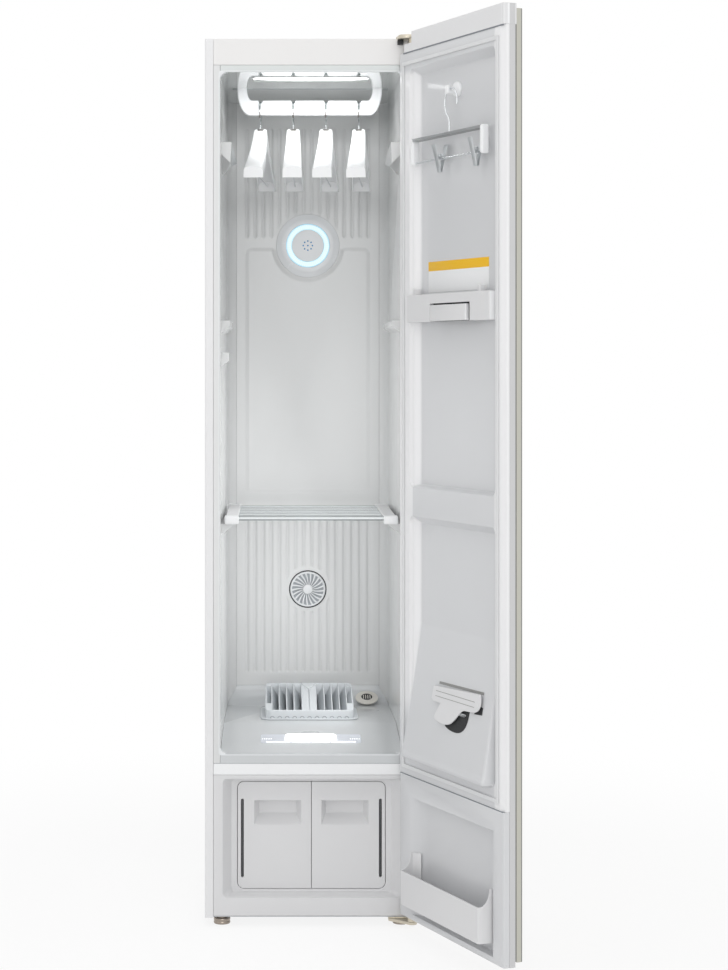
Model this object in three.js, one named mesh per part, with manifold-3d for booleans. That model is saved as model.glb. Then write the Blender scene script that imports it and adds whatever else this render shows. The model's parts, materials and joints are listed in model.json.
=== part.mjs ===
// Clothes care steam cabinet, door open.
// Millimetres. X runs to the right, Y into the cabinet and Z up. While it is built, X = 0 is the middle
// of the body, Y = 0 its front face and Z = 0 the floor; the finished group is then moved so that the
// middle of its box stands over the origin.

import * as THREE from 'three';
import { mergeVertices } from 'three/addons/utils/BufferGeometryUtils.js';
import Module from 'manifold-3d';

const wasm = await Module();
wasm.setup();

// Driving sizes of the body
const bodyWidth = 445;
const bodyHeight = 1850;
const bodyDepth = 540;
const baseHeight = 20;
const skirtDrop = 2;
const sheetSteel = 1.2;
const panelEdge = 17.3;
const foldRadius = 3;
const seam = 0.3;
const overrun = 5;
const weld = 0.0001;
const mergeSize = 0.01;

// Stack of the front, from the base up
const traySheet = 1.5;
const trayRim = 40;
const frameHeight = 293.9;
const crossbarHeight = 24;
const crossbarThickness = 14;
const sillHeight = 20;
const apronHeight = 54.4;
const headHeight = 15;
const flangeThickness = 3;
const apronThickness = 12;
const coverPlate = 3;

// Clothes cavity
const flangeWidth = 14.1;
const rearSpace = 50;
const cavityTaper = 5.8;
const coveWidth = 20.2;
const coveDepth = 40;
const wallThickness = 3;
const backThickness = 5;
const ceilingTopClearance = 3.7;
const ceilingDrop = 7.7;
const lipDepth = 20;
const platformLead = 45;
const platformRise = 29.7;
const floorThickness = 3;
const floorCove = 40;

// Pressed grooves and recess of the back wall
const grooveMargin = 24.8;
const grooveCount = 16;
const grooveWidth = 11;
const grooveDepth = 2;
const grooveOverDisc = 17;
const grooveHeadroom = 63.3;
const grooveFootroom = 28.7;
const grooveOverShelf = 3;
const recessMargin = 4.5;
const recessOverShelf = 37.7;
const recessUnderDisc = 4;
const recessDepth = 3;
const recessRadius = 16;
const recessBevel = 9;

// Light disc
const discBossRadius = 84;
const discRadius = 73;
const discThickness = 8;
const discCrown = 2;
const lensOuterRadius = 50;
const lensInnerRadius = 37;
const lensThickness = 3;

// Fan behind its grille
const fanDuctRadius = 36;
const grilleRadius = 43.4;
const grilleThickness = 6;
const grilleHubRise = 2;
const grilleLandRadius = 53;
const grilleHub = 11;
const grilleSlotOuter = 35;
const grilleSlotInner = 14;
const grilleSlotCount = 12;
const fanRadius = 33;
const fanWidth = 18;
const fanHubRadius = 9;
const fanBladeCount = 8;
const fanBladeThickness = 2;
const fanSetback = 5;
const shaftRadius = 3;
const motorRadius = 20;
const motorGap = 4;

// Ledges on the side walls
const bumperReach = 20;
const bumperStart = 60;
const bumperLength = 90;
const bumperHeight = 62;
const ledgeReach = 14;
const ledgeStart = 60;
const ledgeRearGap = 70;
const ledgeHeight = 26;
const clipReach = 12;
const clipStart = 52;
const clipLength = 16;
const clipHeight = 29;
const shelfLedgeReach = 22;
const shelfLedgeHeight = 24;

// Shelf
const shelfSideGap = 8.3;
const shelfFront = 40;
const shelfRearGap = 10;
const railWidth = 30;
const railHeight = 18;
const rodCount = 8;
const rodRadius = 2.5;
const frontRodRadius = 4.8;

// Lamps
const ceilingLampMargin = 67.8;
const ceilingLampDepth = 58;
const ceilingLampStart = 76;
const ceilingLampThickness = 6;
const ceilingLampProud = 1.5;
const floorLampMargin = 82.8;
const floorLampStart = 75;
const floorLampDepth = 55;
const floorLampThickness = 4;

// Filter cassette in the floor
const filterSideGap = 82.8;
const filterFlangeSide = 10;
const filterFlangeReach = 9;
const filterFlangeThickness = 3;
const filterWallHeight = 20;
const filterWallLean = 10;
const filterTopRise = 39;
const filterNeck = 18;
const filterNeckInset = 6;
const filterSlotCount = 9;
const filterWall = 3;
const filterSkin = 12;
const filterRibHalf = 5;
const filterRibRise = 3;
const filterSlotWidth = 8;
const filterSlotDepth = 22;
const filterSlotMargin = 14;
const filterCorner = 20;

// Steam nozzle on the rear cove
const nozzleSideGap = 29.8;
const nozzleRadius = 26;
const nozzleThickness = 5;
const nozzleStand = 11;
const nozzleStemRadius = 12;
const nozzleStemLength = 22;
const nozzleMouthRadius = 13;
const nozzleMouthDepth = 3;
const nozzleTilt = 26;

// Moving hanger bar and its drive
const barSideGap = 32;
const barDrop = 62.3;
const barHeight = 32;
const barDepth = 20;
const armWidth = 22.5;
const barCorner = 28;
const carriageThickness = 6;
const carriageMargin = 14;
const carriageDepth = 44;
const barTravel = 10;
const barClearance = 2;
const notchWidth = 14;
const notchRadius = 14.9;
const notchCentreDrop = 21;
const rockerArm = 40;
const rockerThickness = 4;
const rockerWidth = 16;
const pegRadius = 4;
const pegClearance = 0.5;
const driveMotorRadius = 22;
const driveMotorHeight = 26;
const driveShaftRadius = 4;
const driveBaseWidth = 90;
const driveBaseDepth = 60;

// Hangers
const hangerEndGap = 55;
const hangerBelowBar = 30;
const hangerDrop = 98;
const hangerCentreWidth = 28;
const hangerEndWidth = 42;
const hangerCentreThickness = 24;
const hangerEndThickness = 26;
const hangerStations = 12;
const hangerYawDegrees = [-4.3, -1.2, -4.1, -4.2];
const wireRadius = 1.75;
const hookRadius = 17;
const hookTipDrop = 3;
const hookTipRadius = 2.6;
const hookShankJoin = 16;
const hookSocketDepth = 14;
const hookSocketClearance = 0.3;

// Water tanks and their bay
const faceSetback = 34;
const tankSideGap = 50.1;
const tankFootroom = 49.7;
const tankHeadroom = 20.2;
const tankGap = 1;
const tankCorner = 13;
const tankFrontThickness = 12;
const tankWall = 2;
const tankFillRadius = 18;
const windowInset = 7;
const windowWidth = 5.8;
const windowFootroom = 23.1;
const windowHeadroom = 35.9;
const pocketInset = 21;
const pocketHeight = 51;
const pocketDepth = 26;
const pocketSlope = 10;
const pocketRise = 20;
const pocketWall = 2.5;
const bayWall = 1.5;
const bayClearance = 1;
const framePocketSide = 19.3;
const framePocketFootroom = 39.8;
const framePocketHeadroom = 10.1;
const framePocketCorner = 9;
const frameLedge = 6;
const frameBackSide = 37.2;
const frameBackFootroom = 44.2;
const frameBackHeadroom = 14.7;

// Machine space
const generatorSetback = 30;
const generatorHeight = 110;
const generatorCorner = 25;
const vesselWall = 3;
const pipeRadius = 8;
const pipeBore = 5;
const machineMargin = 20;
const compressorHeight = 150;
const compressorDome = 20;
const exchangerRearGap = 48.5;
const exchangerHeadroom = 43.9;
const exchangerFrame = 10;
const finCount = 10;
const machinePlate = 4;
const connectingPipeRadius = 5;

// Feet
const footRadius = 17.5;
const footPad = 6;
const footCollar = 10;
const stemRadius = 7;
const footSideGap = 35;
const footY = 30;
const rearFootGap = 35;

// Hinges
const hingeSetback = 25;
const openDegrees = 112.8;
const pinRadius = 4;
const pinClearance = 0.3;
const lowerPlateSeat = 2.3;
const lowerPlateThickness = 5.7;
const lowerPlateReach = 47;
const lowerPlateNose = 11;
const lowerPlateBack = 70;
const lowerBossRadius = 9;
const lowerPinLength = 22;
const upperPlateThickness = 3;
const upperPlateReach = 57;
const upperPlateEdge = 8;
const upperPlateBack = 70;
const upperArmReach = 27;
const upperArmRadius = 10;
const upperBossRadius = 6;
const upperBossLength = 8;
const upperPinLength = 26;
const stopWidth = 11;
const stopHeight = 9;
const stopDepth = 10;
const screwRadius = 5;
const screwHead = 1.5;

// Door
const doorLift = 12;
const doorRise = 5;
const doorOverlap = 15.5;
const doorInner = 21;
const doorOuter = 20;
const facePanelInset = 9;
const facePanelThickness = 13;
const facePanelSkin = 1.5;
const facePanelRadius = 3;
const doorGroove = 2.8;
const neckInset = 14;
const neckThickness = 3.3;
const frameBand = 12.2;
const frameRingWidth = 18;
const capHeight = 40;
const capNotchLength = 40;
const capNotchHeight = 23;
const capChamfer = 19;
const hingeCornerRadius = 6;
const freeCornerRadius = 3;
const splitRise = 10;
const tubLeft = 33;
const tubFreeMargin = 34.5;
const tubWall = 3;
const tubCorner = 14;
const tubHeadroom = 37;
const tubFootroom = 42;
const bulgeReach = 46;
const bulgeNose = 8;
const bulgeMargin = 4;
const pocketTubHeadroom = 43;
const pocketTubFootroom = 12;
const pocketTubLeft = 41;
const pocketTubFreeMargin = 42.5;
const pocketTubLeftSlope = 37;
const pocketTubRightSlope = 3;
const gasketWidth = 8;

// Bin at the foot of the door
const binRise = 25;
const binSideHeight = 103;
const binFrontHeight = 69;
const binReach = 49;
const binWall = 2.5;
const binCorner = 6;
const binInset = 3;
const binCutStart = 24;

// Pieces on the door liner
const hookDrop = 66;
const hookPegRadius = 5;
const hookPegLength = 24;
const hookPlateHalf = 18;
const hookPlateTop = 18;
const hookPlateBottom = 20;
const hookPlateThickness = 3;
const hookLip = 5;
const presserHingeGap = 5;
const presserFreeGap = 7;
const presserHeight = 56;
const presserBack = 4;
const presserFront = 30;
const leverInset = 1;
const leverHeight = 32.6;
const leverSlot = 13;
const leverThickness = 8;
const leverPinRadius = 2;
const hemHeight = 54;
const hemThickness = 5;
const hemTongueWidth = 50;
const hemTongueHeight = 34;
const hemGap = 3;
const hemKnuckle = 4.5;
const hemEarWidth = 8;
const hemPinRadius = 2;

// Trouser hanger and its two clips
const trouserHingeGap = 16;
const trouserFreeGap = 38;
const trouserDrop = 82;
const trouserWireGap = 48;
const trouserWire = 2.2;
const trouserCapWidth = 11;
const trouserCapMargin = 5;
const trouserPlaneV = 20;
const trouserHookRadius = 8;
const trouserHookWire = 1.75;
const clipHalf = 9;
const clipUp = 18;
const clipDown = 26;
const clipThickness = 3;
const clipBridge = 5;
const clipBore = 0.35;
const clipJawGap = 1;
const clipPivotRise = 7;
const clipNeckDrop = 5;
const clipGrip = 1;
const clipPinRadius = 1.2;
const clipEar = 2;

// Heights in the clothes cavity, as shares of its height
const shelfShare = 0.3343;
const fanShare = 0.2054;
const clipShare = 0.5681;
const ledgeShare = 0.6181;
const discShare = 0.7639;
const bumperShare = 0.861;

// Heights on the upper door liner and widths in its recess, as shares of them
const bulgeShare = 0.2109;
const hemShare = 0.141;
const lowerTubShare = 0.3593;
const upperTubShare = 0.3996;
const presserShare = 0.6253;
const hookShare = 0.4779;
const leverShares = [0.2956, 0.7486];
const hemShares = [0.3343, 0.8674];
const clipShares = [0.3646, 0.7873];

// Proportions without a unit
const filterFrontShare = 0.5102;
const filterDepthShare = 0.3061;
const filterPitchShare = 0.19;
const hangerPitchShare = 0.4534;
const tankDepthShare = 0.4444;
const pocketWidthShare = 0.6395;
const pocketLevelShare = 0.596;
const generatorShare = 0.2697;
const exchangerShare = 0.1798;
const compressorShare = 0.1236;
const footCollarShare = 0.65;
const grilleSlotShare = 0.6;
const finGapShare = 0.6;
const hangerShoulderShare = 0.62;
const hangerBowShare = 0.35;
const hangerBowPower = 0.9;
const hangerFlarePower = 1.4;
const railInsetShare = 0.33;
const lampCornerShare = 0.33;
const bulgeSkinShare = 3;
const hookNeckShare = 2.4;
const screwPlaces = [[0.3, 0.35], [0.3, 0.8], [0.75, 0.6]];
const hookBendShare = 0.8;
const compressorShoulderShare = 0.7;

// Places worked out from the sizes above
const half = bodyWidth / 2;
const frontHalf = half - panelEdge - seam;
const shellHalf = half - sheetSteel - seam;
const shellFront = sheetSteel + seam;
const shellBack = bodyDepth - sheetSteel - seam;
const trayTop = baseHeight + traySheet;
const frameBottom = trayTop + seam;
const frameTop = frameBottom + frameHeight;
const crossbarBottom = frameTop + seam;
const crossbarTop = crossbarBottom + crossbarHeight;
const sillBottom = crossbarTop + seam;
const cavityBottom = sillBottom + sillHeight;
const apronBottom = bodyHeight - apronHeight;
const headTop = apronBottom - seam;
const cavityTop = headTop - headHeight;

const cavityHalf = frontHalf - flangeWidth;
const cavityDepth = bodyDepth - rearSpace;
const coveHalf = cavityHalf - cavityTaper;
const coveStart = cavityDepth - coveDepth;
const backHalf = coveHalf - coveWidth;
const ceilingBack = cavityTop - ceilingDrop;
const ceilingTop = cavityTop + ceilingTopClearance;
const platformZ = cavityBottom + platformRise;
const backWallBottom = platformZ + floorCove + seam;
const backWallTop = ceilingBack - seam;
const shelfHeight = cavityLevel(shelfShare);
const discHeight = cavityLevel(discShare);
const fanHeight = cavityLevel(fanShare);
const grooveSpan = 2 * (backHalf - grooveMargin);
const recessHalf = grooveSpan / 2 + recessMargin;
const recessBottom = shelfHeight + recessOverShelf;
const recessTop = discHeight - recessUnderDisc;
const ledgeLength = cavityDepth - ledgeStart - ledgeRearGap;
const shelfHalf = cavityHalf - shelfSideGap;
const shelfDepth = coveStart - shelfRearGap - shelfFront;
const ceilingLampWidth = 2 * (cavityHalf - ceilingLampMargin);
const floorLampWidth = 2 * (cavityHalf - floorLampMargin);
const filterFlangeHalf = cavityHalf - filterSideGap;
const filterHalf = filterFlangeHalf - filterFlangeSide;
const filterFront = cavityDepth * filterFrontShare;
const filterDepth = cavityDepth * filterDepthShare;
const filterSlotPitch = filterHalf * filterPitchShare;
const platformStart = filterFront - platformLead;
const nozzleX = backHalf - nozzleSideGap;
const barHalf = cavityHalf - barSideGap;
const barBottom = cavityTop - barDrop;
const barCentreY = cavityDepth / 2;
const hangerPitch = barHalf * hangerPitchShare;
const hangerHalf = cavityDepth / 2 - hangerEndGap;
const hangerTopZ = barBottom - hangerBelowBar;

const frameDepth = faceSetback + frameLedge;
const framePocketHalf = frontHalf - framePocketSide;
const framePocketBottom = frameBottom + framePocketFootroom;
const framePocketHeight = frameHeight - framePocketFootroom - framePocketHeadroom;
const frameBackHalf = frontHalf - frameBackSide;
const frameBackBottom = frameBottom + frameBackFootroom;
const frameBackHeight = frameHeight - frameBackFootroom - frameBackHeadroom;
const tankHalf = frontHalf - tankSideGap;
const tankBottom = frameBottom + tankFootroom;
const tankHeight = frameHeight - tankFootroom - tankHeadroom;
const tankDepth = bodyDepth * tankDepthShare;
const windowBottom = tankBottom + windowFootroom;
const windowHeight = tankHeight - windowFootroom - windowHeadroom;
const pocketWidth = tankHalf * pocketWidthShare;
const pocketBottom = tankBottom + tankHeight * pocketLevelShare;
const bayBack = faceSetback + tankFrontThickness + tankDepth + bayClearance;
const machineFront = bayBack + bayWall + machineMargin;
const exchangerDepth = shellBack - traySheet - exchangerRearGap - machineFront;
const generatorDepth = exchangerDepth - generatorSetback;
const exchangerHeight = frameHeight - exchangerHeadroom;
const generatorWidth = bodyWidth * generatorShare;
const exchangerWidth = bodyWidth * exchangerShare;
const compressorRadius = bodyWidth * compressorShare;
const footX = half - footSideGap;
const rearFootY = bodyDepth - rearFootGap;

const hingeX = half - doorOverlap;
const hingeY = -hingeSetback;
const openAngle = THREE.MathUtils.degToRad(openDegrees);
const lowerPlateTop = baseHeight - lowerPlateSeat;
const lowerPlateLeft = hingeX - lowerPlateReach;
const lowerPlateRight = hingeX + lowerPlateNose;
const upperPlateLeft = hingeX - upperPlateReach;
const upperPlateRight = hingeX + upperPlateEdge;
const upperArmLeft = hingeX - upperArmReach;

const doorBottom = baseHeight + doorLift;
const doorTop = bodyHeight + doorRise;
const doorLength = hingeX + half;
const linerBack = doorInner - frameBand - seam;
const linerSplit = crossbarBottom + splitRise;
const linerUpperBottom = linerSplit + seam;
const capBottom = doorTop - capHeight;
const linerTop = capBottom - seam;
const facePanelBack = facePanelThickness - doorOuter;
const neckBack = facePanelBack + seam + neckThickness;
const tubRight = doorLength - tubFreeMargin;
const upperTubTop = capBottom - tubHeadroom;
const upperTubBottom = linerLevel(upperTubShare);
const lowerTubTop = linerLevel(lowerTubShare);
const lowerTubBottom = linerSplit + tubFootroom;
const bulgeTop = linerLevel(bulgeShare);
const pocketTubTop = linerSplit - pocketTubHeadroom;
const pocketTubBottom = doorBottom + pocketTubFootroom;
const pocketTubRight = doorLength - pocketTubFreeMargin;
const gasketThickness = hingeSetback - doorInner - 2 * seam;
const binBottom = pocketTubBottom + binRise;
const hookPegU = tubPlace(hookShare);
const hookPegZ = upperTubTop - hookDrop;
const presserLeft = tubLeft + presserHingeGap;
const presserRight = tubRight - presserFreeGap;
const presserBottom = linerLevel(presserShare);
const [leverLeft, leverRight] = leverShares.map(tubPlace);
const leverBottom = presserBottom + leverInset;
const leverTop = leverBottom + leverHeight;
const [hemLeft, hemRight] = hemShares.map(tubPlace);
const hemPivotZ = linerLevel(hemShare);
const trouserLeft = tubLeft + trouserHingeGap;
const trouserRight = tubRight - trouserFreeGap;
const trouserTopZ = hookPegZ - trouserDrop;
const trouserLowZ = trouserTopZ - trouserWireGap;
const clipPlaces = clipShares.map(tubPlace);

const palette = {
  whitePaint: finish(0xe9e9e9, 0.35),
  warmWhite: finish(0xefedea, 0.4),
  liner: finish(0xd2d5d7, 0.25),
  greyPlastic: finish(0xd4d4d5, 0.45),
  whitePlastic: finish(0xf2f3f4, 0.35),
  doorLiner: finish(0xd6d7d9, 0.3),
  lens: finish(0xffffff, 0.3),
  ring: finish(0xdff1ff, 0.3),
  trim: finish(0xbfbfae, 0.3, 0.8),
  bracket: finish(0xc9c2b2, 0.3, 0.9),
  chrome: finish(0xd8dadb, 0.15, 1),
  darkSteel: finish(0x77797c, 0.5, 0.7),
  tank: finish(0xb9c4cc, 0.2),
  gasket: finish(0xc9cacb, 0.8),
  galvanised: finish(0xa9adb0, 0.5, 0.8),
  black: finish(0x232426, 0.6),
};

const cabinet = new THREE.Group();
const door = new THREE.Group();
door.position.set(hingeX, hingeY, 0);
door.rotation.z = openAngle;
cabinet.add(door);

function cavityLevel(share) {
  return THREE.MathUtils.lerp(cavityBottom, cavityTop, share);
}

function linerLevel(share) {
  return THREE.MathUtils.lerp(linerSplit, capBottom, share);
}

function tubPlace(share) {
  return THREE.MathUtils.lerp(tubLeft, tubRight, share);
}

function finish(color, roughness, metalness = 0) {
  return new THREE.MeshStandardMaterial({ color, roughness, metalness });
}

// Turns a geometry into a solid whose faces point outwards.
function solid(geometry) {
  geometry.deleteAttribute('normal');
  geometry.deleteAttribute('uv');
  const merged = mergeVertices(geometry, weld);
  const position = merged.attributes.position;
  const corners = [];
  for (let i = 0; i < position.count; i += 1) {
    corners.push(new THREE.Vector3().fromBufferAttribute(position, i));
  }
  const triangles = [];
  let volume = 0;
  for (let i = 0; i < merged.index.count; i += 3) {
    const [a, b, c] = [0, 1, 2].map((k) => merged.index.getX(i + k));
    if (a === b || b === c || c === a) continue;
    volume += corners[a].dot(corners[b].clone().cross(corners[c]));
    triangles.push([a, b, c]);
  }
  const triVerts = new Uint32Array(triangles.flatMap(([a, b, c]) => (volume < 0 ? [a, c, b] : [a, b, c])));
  const vertProperties = new Float32Array(position.array);
  return new wasm.Manifold(new wasm.Mesh({ numProp: 3, vertProperties, triVerts }));
}

function join(first, ...others) {
  return others.reduce((whole, next) => whole.add(next), first);
}

function cut(first, ...others) {
  return others.reduce((whole, next) => whole.subtract(next), first);
}

function toGeometry(body) {
  const { vertProperties, triVerts } = body.getMesh();
  const geometry = new THREE.BufferGeometry();
  geometry.setAttribute('position', new THREE.BufferAttribute(vertProperties, 3));
  geometry.setIndex(new THREE.BufferAttribute(triVerts, 1));
  return geometry;
}

function addPart(name, body, material, parent = cabinet) {
  const geometry = toGeometry(body.asOriginal().simplify(mergeSize));
  geometry.computeVertexNormals();
  const mesh = new THREE.Mesh(geometry, material);
  mesh.name = name;
  parent.add(mesh);
  return mesh;
}

function box(x0, x1, y0, y1, z0, z1) {
  const geometry = new THREE.BoxGeometry(x1 - x0, y1 - y0, z1 - z0);
  geometry.translate((x0 + x1) / 2, (y0 + y1) / 2, (z0 + z1) / 2);
  return solid(geometry);
}

function placeAlong(axis, from, to) {
  const unitX = new THREE.Vector3(1, 0, 0);
  const unitY = new THREE.Vector3(0, 1, 0);
  const unitZ = new THREE.Vector3(0, 0, 1);
  const matrix = new THREE.Matrix4();
  if (axis === 'x') return matrix.makeBasis(unitY, unitZ, unitX).setPosition(from, 0, 0);
  if (axis === 'y') return matrix.makeBasis(unitX, unitZ, unitY.negate()).setPosition(0, to, 0);
  return matrix.setPosition(0, 0, from);
}

// Extrudes an outline along an axis: (y, z) points along x, (x, z) points along y, (x, y) points along z.
function extrude(axis, points, from, to) {
  const shape = new THREE.Shape(points.map(([a, b]) => new THREE.Vector2(a, b)));
  const geometry = new THREE.ExtrudeGeometry(shape, { depth: to - from, bevelEnabled: false });
  geometry.applyMatrix4(placeAlong(axis, from, to));
  return solid(geometry);
}

// A round bar between two places along an axis, centred on the two other coordinates in X, Y, Z order.
function rod(axis, a, b, from, to, radius, sides = 16) {
  const geometry = new THREE.CylinderGeometry(radius, radius, to - from, sides);
  const middle = (from + to) / 2;
  if (axis === 'x') geometry.rotateZ(Math.PI / 2).translate(middle, a, b);
  if (axis === 'y') geometry.translate(a, middle, b);
  if (axis === 'z') geometry.rotateX(Math.PI / 2).translate(a, b, middle);
  return solid(geometry);
}

// Turns a (radius, height) profile about Z.
function turned(profile, sides = 24) {
  const geometry = new THREE.LatheGeometry(profile.map(([r, h]) => new THREE.Vector2(r, h)), sides);
  geometry.rotateX(Math.PI / 2);
  return solid(geometry);
}

function wire(points, radius, steps, sides = 8) {
  const shape = new THREE.Shape();
  shape.absarc(0, 0, radius, 0, 2 * Math.PI);
  const section = new THREE.Shape(shape.getSpacedPoints(sides).slice(0, sides));
  const path = new THREE.CatmullRomCurve3(points.map(([x, y, z]) => new THREE.Vector3(x, y, z)));
  return solid(new THREE.ExtrudeGeometry(section, { steps, extrudePath: path, bevelEnabled: false }));
}

// Points of an arc, from one angle to another in degrees.
function arc(x, y, radiusX, radiusY, start, end, steps = 4) {
  return Array.from({ length: steps + 1 }, (_, i) => {
    const angle = THREE.MathUtils.degToRad(start + ((end - start) * i) / steps);
    return [x + radiusX * Math.cos(angle), y + radiusY * Math.sin(angle)];
  });
}

function roundedRectangle(x0, x1, z0, z1, radius, steps = 3) {
  return [
    ...arc(x1 - radius, z0 + radius, radius, radius, -90, 0, steps),
    ...arc(x1 - radius, z1 - radius, radius, radius, 0, 90, steps),
    ...arc(x0 + radius, z1 - radius, radius, radius, 90, 180, steps),
    ...arc(x0 + radius, z0 + radius, radius, radius, 180, 270, steps),
  ];
}

// Skins a row of closed rings that have the same number of points.
function loft(rings) {
  const count = rings[0].length;
  const positions = rings.flat(2);
  const index = [];
  for (let r = 0; r + 1 < rings.length; r += 1) {
    for (let i = 0; i < count; i += 1) {
      const a = r * count + i;
      const b = r * count + ((i + 1) % count);
      index.push(a, b, a + count, b, b + count, a + count);
    }
  }
  const last = (rings.length - 1) * count;
  for (let i = 1; i + 1 < count; i += 1) {
    index.push(0, i + 1, i, last, last + i, last + i + 1);
  }
  const geometry = new THREE.BufferGeometry();
  geometry.setAttribute('position', new THREE.Float32BufferAttribute(positions, 3));
  geometry.setIndex(index);
  return solid(geometry);
}

// Door frame of reference: u runs from the hinge pin to the free edge, v from the pin into the cabinet
// when the door is shut.
function doorBox(u0, u1, v0, v1, z0, z1) {
  return box(-u1, -u0, v0, v1, z0, z1);
}

function doorPlan(points, from, to) {
  return extrude('z', points.map(([u, v]) => [-u, v]), from, to);
}

function doorElevation(points, from, to) {
  return extrude('y', points.map(([u, z]) => [-u, z]), from, to);
}

// Outer shell of the cabinet

function sidePanel(side) {
  const inner = half - panelEdge;
  const bend = half - foldRadius;
  const outline = [
    [inner, 0],
    ...arc(bend, foldRadius, foldRadius, foldRadius, -90, 0, 3),
    ...arc(bend, bodyDepth - foldRadius, foldRadius, foldRadius, 0, 90, 3),
    [inner, bodyDepth],
    [inner, bodyDepth - sheetSteel],
    [half - sheetSteel, bodyDepth - sheetSteel],
    [half - sheetSteel, sheetSteel],
    [inner, sheetSteel],
  ];
  return extrude('z', outline.map(([x, y]) => [side * x, y]), baseHeight - skirtDrop, bodyHeight);
}

function makeShell() {
  addPart('side_panel_left', sidePanel(-1), palette.whitePaint);
  addPart('side_panel_right', sidePanel(1), palette.whitePaint);
  const apron = box(-frontHalf, frontHalf, 0, apronThickness, apronBottom, bodyHeight);
  const plate = box(-shellHalf, shellHalf, shellFront, shellBack, bodyHeight - coverPlate, bodyHeight);
  addPart('top_cover', join(apron, plate), palette.warmWhite);
  const backSheet = box(-frontHalf, frontHalf, bodyDepth - sheetSteel, bodyDepth, baseHeight, bodyHeight);
  addPart('back_panel', backSheet, palette.galvanised);
  const bar = box(-frontHalf, frontHalf, 0, crossbarThickness, crossbarBottom, crossbarTop);
  addPart('crossbar', bar, palette.whitePlastic);
}

function makeBase() {
  const rimFront = frameDepth + seam;
  const rimTop = trayTop + trayRim;
  const plate = box(-shellHalf, shellHalf, shellFront, shellBack, baseHeight, trayTop);
  const rims = [-1, 1].map((side) => {
    const outer = side * shellHalf;
    const inner = side * (shellHalf - traySheet);
    return box(Math.min(outer, inner), Math.max(outer, inner), rimFront, shellBack, baseHeight, rimTop);
  });
  const rearRim = box(-shellHalf, shellHalf, shellBack - traySheet, shellBack, baseHeight, rimTop);
  const rearFeet = [-1, 1].map((side) => (
    rod('z', side * footX, rearFootY, 0, baseHeight + traySheet / 2, footRadius, 20)));
  addPart('base_tray', join(plate, ...rims, rearRim, ...rearFeet), palette.galvanised);
}

function foot(height) {
  return turned([
    [0, 0],
    [footRadius, 0],
    [footRadius, footPad],
    [footCollar, footPad + seam],
    [footCollar, height * footCollarShare],
    [stemRadius, height * footCollarShare],
    [stemRadius, height],
    [0, height],
  ], 20);
}

function makeFeet() {
  const left = addPart('foot_front_left', foot(baseHeight - seam), palette.darkSteel);
  left.position.set(-footX, footY, 0);
  const lowerPlateBottom = lowerPlateTop - lowerPlateThickness;
  const right = addPart('foot_front_right', foot(lowerPlateBottom - seam), palette.darkSteel);
  right.position.set(footX, footY, 0);
}

// Clothes cavity

function cavityWall(side) {
  const inside = [
    [cavityHalf, 0],
    ...arc(backHalf, coveStart, coveWidth, coveDepth, 0, 90, 5),
  ];
  const outside = [
    ...arc(backHalf, coveStart, coveWidth + wallThickness, coveDepth + wallThickness, 90, 0, 5),
    [cavityHalf + wallThickness, flangeThickness],
    [frontHalf, flangeThickness],
    [frontHalf, 0],
  ];
  const outline = [...inside, ...outside].map(([x, y]) => [side * x, y]);
  return extrude('z', outline, sillBottom, headTop);
}

// A block on a side wall that reaches into the cavity.
function wallBlock(side, reach, start, length, bottom, height) {
  const outline = [
    [cavityHalf, bottom],
    [cavityHalf - cavityTaper - reach, bottom + reach],
    [cavityHalf - cavityTaper - reach, bottom + height],
    [cavityHalf, bottom + height],
  ];
  return extrude('y', outline.map(([x, z]) => [side * x, z]), start, start + length);
}

function wallLedges(side) {
  const shelfLedgeBottom = shelfHeight - seam - shelfLedgeHeight;
  return [
    wallBlock(side, bumperReach - cavityTaper, bumperStart, bumperLength, cavityLevel(bumperShare),
      bumperHeight),
    wallBlock(side, ledgeReach, ledgeStart, ledgeLength, cavityLevel(ledgeShare), ledgeHeight),
    wallBlock(side, shelfLedgeReach, ledgeStart, ledgeLength, shelfLedgeBottom, shelfLedgeHeight),
  ];
}

function cavityHalfAt(y) {
  return cavityHalf - (cavityTaper * y) / coveStart - seam;
}

// A prism that fills the cavity's plan between its side walls, from Y = 0 to the back wall.
function cavityPlan(from, to) {
  const edge = cavityHalfAt(coveStart);
  const right = [
    [cavityHalf - seam, 0],
    [edge, coveStart],
    ...arc(backHalf - seam, coveStart, coveWidth, coveDepth - seam, 0, 90, 5),
  ];
  const left = right.map(([x, y]) => [-x, y]).reverse();
  return extrude('z', [...right, ...left], from, to);
}

function barSlot(side) {
  const middle = side * (barHalf - armWidth / 2);
  const reach = armWidth / 2 + barTravel + barClearance;
  const depth = barDepth / 2 + barClearance;
  const [front, back] = [barCentreY - depth, barCentreY + depth];
  return box(middle - reach, middle + reach, front, back, ceilingBack - overrun, ceilingTop + overrun);
}

function ceilingLampOutline(margin) {
  const widthHalf = ceilingLampWidth / 2 + margin;
  const front = ceilingLampStart - margin;
  const back = ceilingLampStart + ceilingLampDepth + margin;
  return roundedRectangle(-widthHalf, widthHalf, front, back, ceilingLampDepth * lampCornerShare);
}

function makeCeiling() {
  const section = [
    [0, cavityTop],
    [cavityDepth - seam, ceilingBack],
    [cavityDepth - seam, ceilingTop],
    [flangeThickness, ceilingTop],
    [flangeThickness, headTop],
    [0, headTop],
  ];
  const plate = extrude('x', section, -cavityHalf, cavityHalf).intersect(cavityPlan(ceilingBack, headTop));
  const lampHole = extrude('z', ceilingLampOutline(seam), ceilingBack, ceilingTop + overrun);
  addPart('cavity_ceiling', cut(plate, lampHole, barSlot(-1), barSlot(1)), palette.liner);
  const lampBottom = cavityTop - (ceilingDrop * ceilingLampStart) / cavityDepth - ceilingLampProud;
  const lens = extrude('z', ceilingLampOutline(0), lampBottom, lampBottom + ceilingLampThickness);
  addPart('ceiling_lamp_lens', lens, palette.lens);
}

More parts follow.
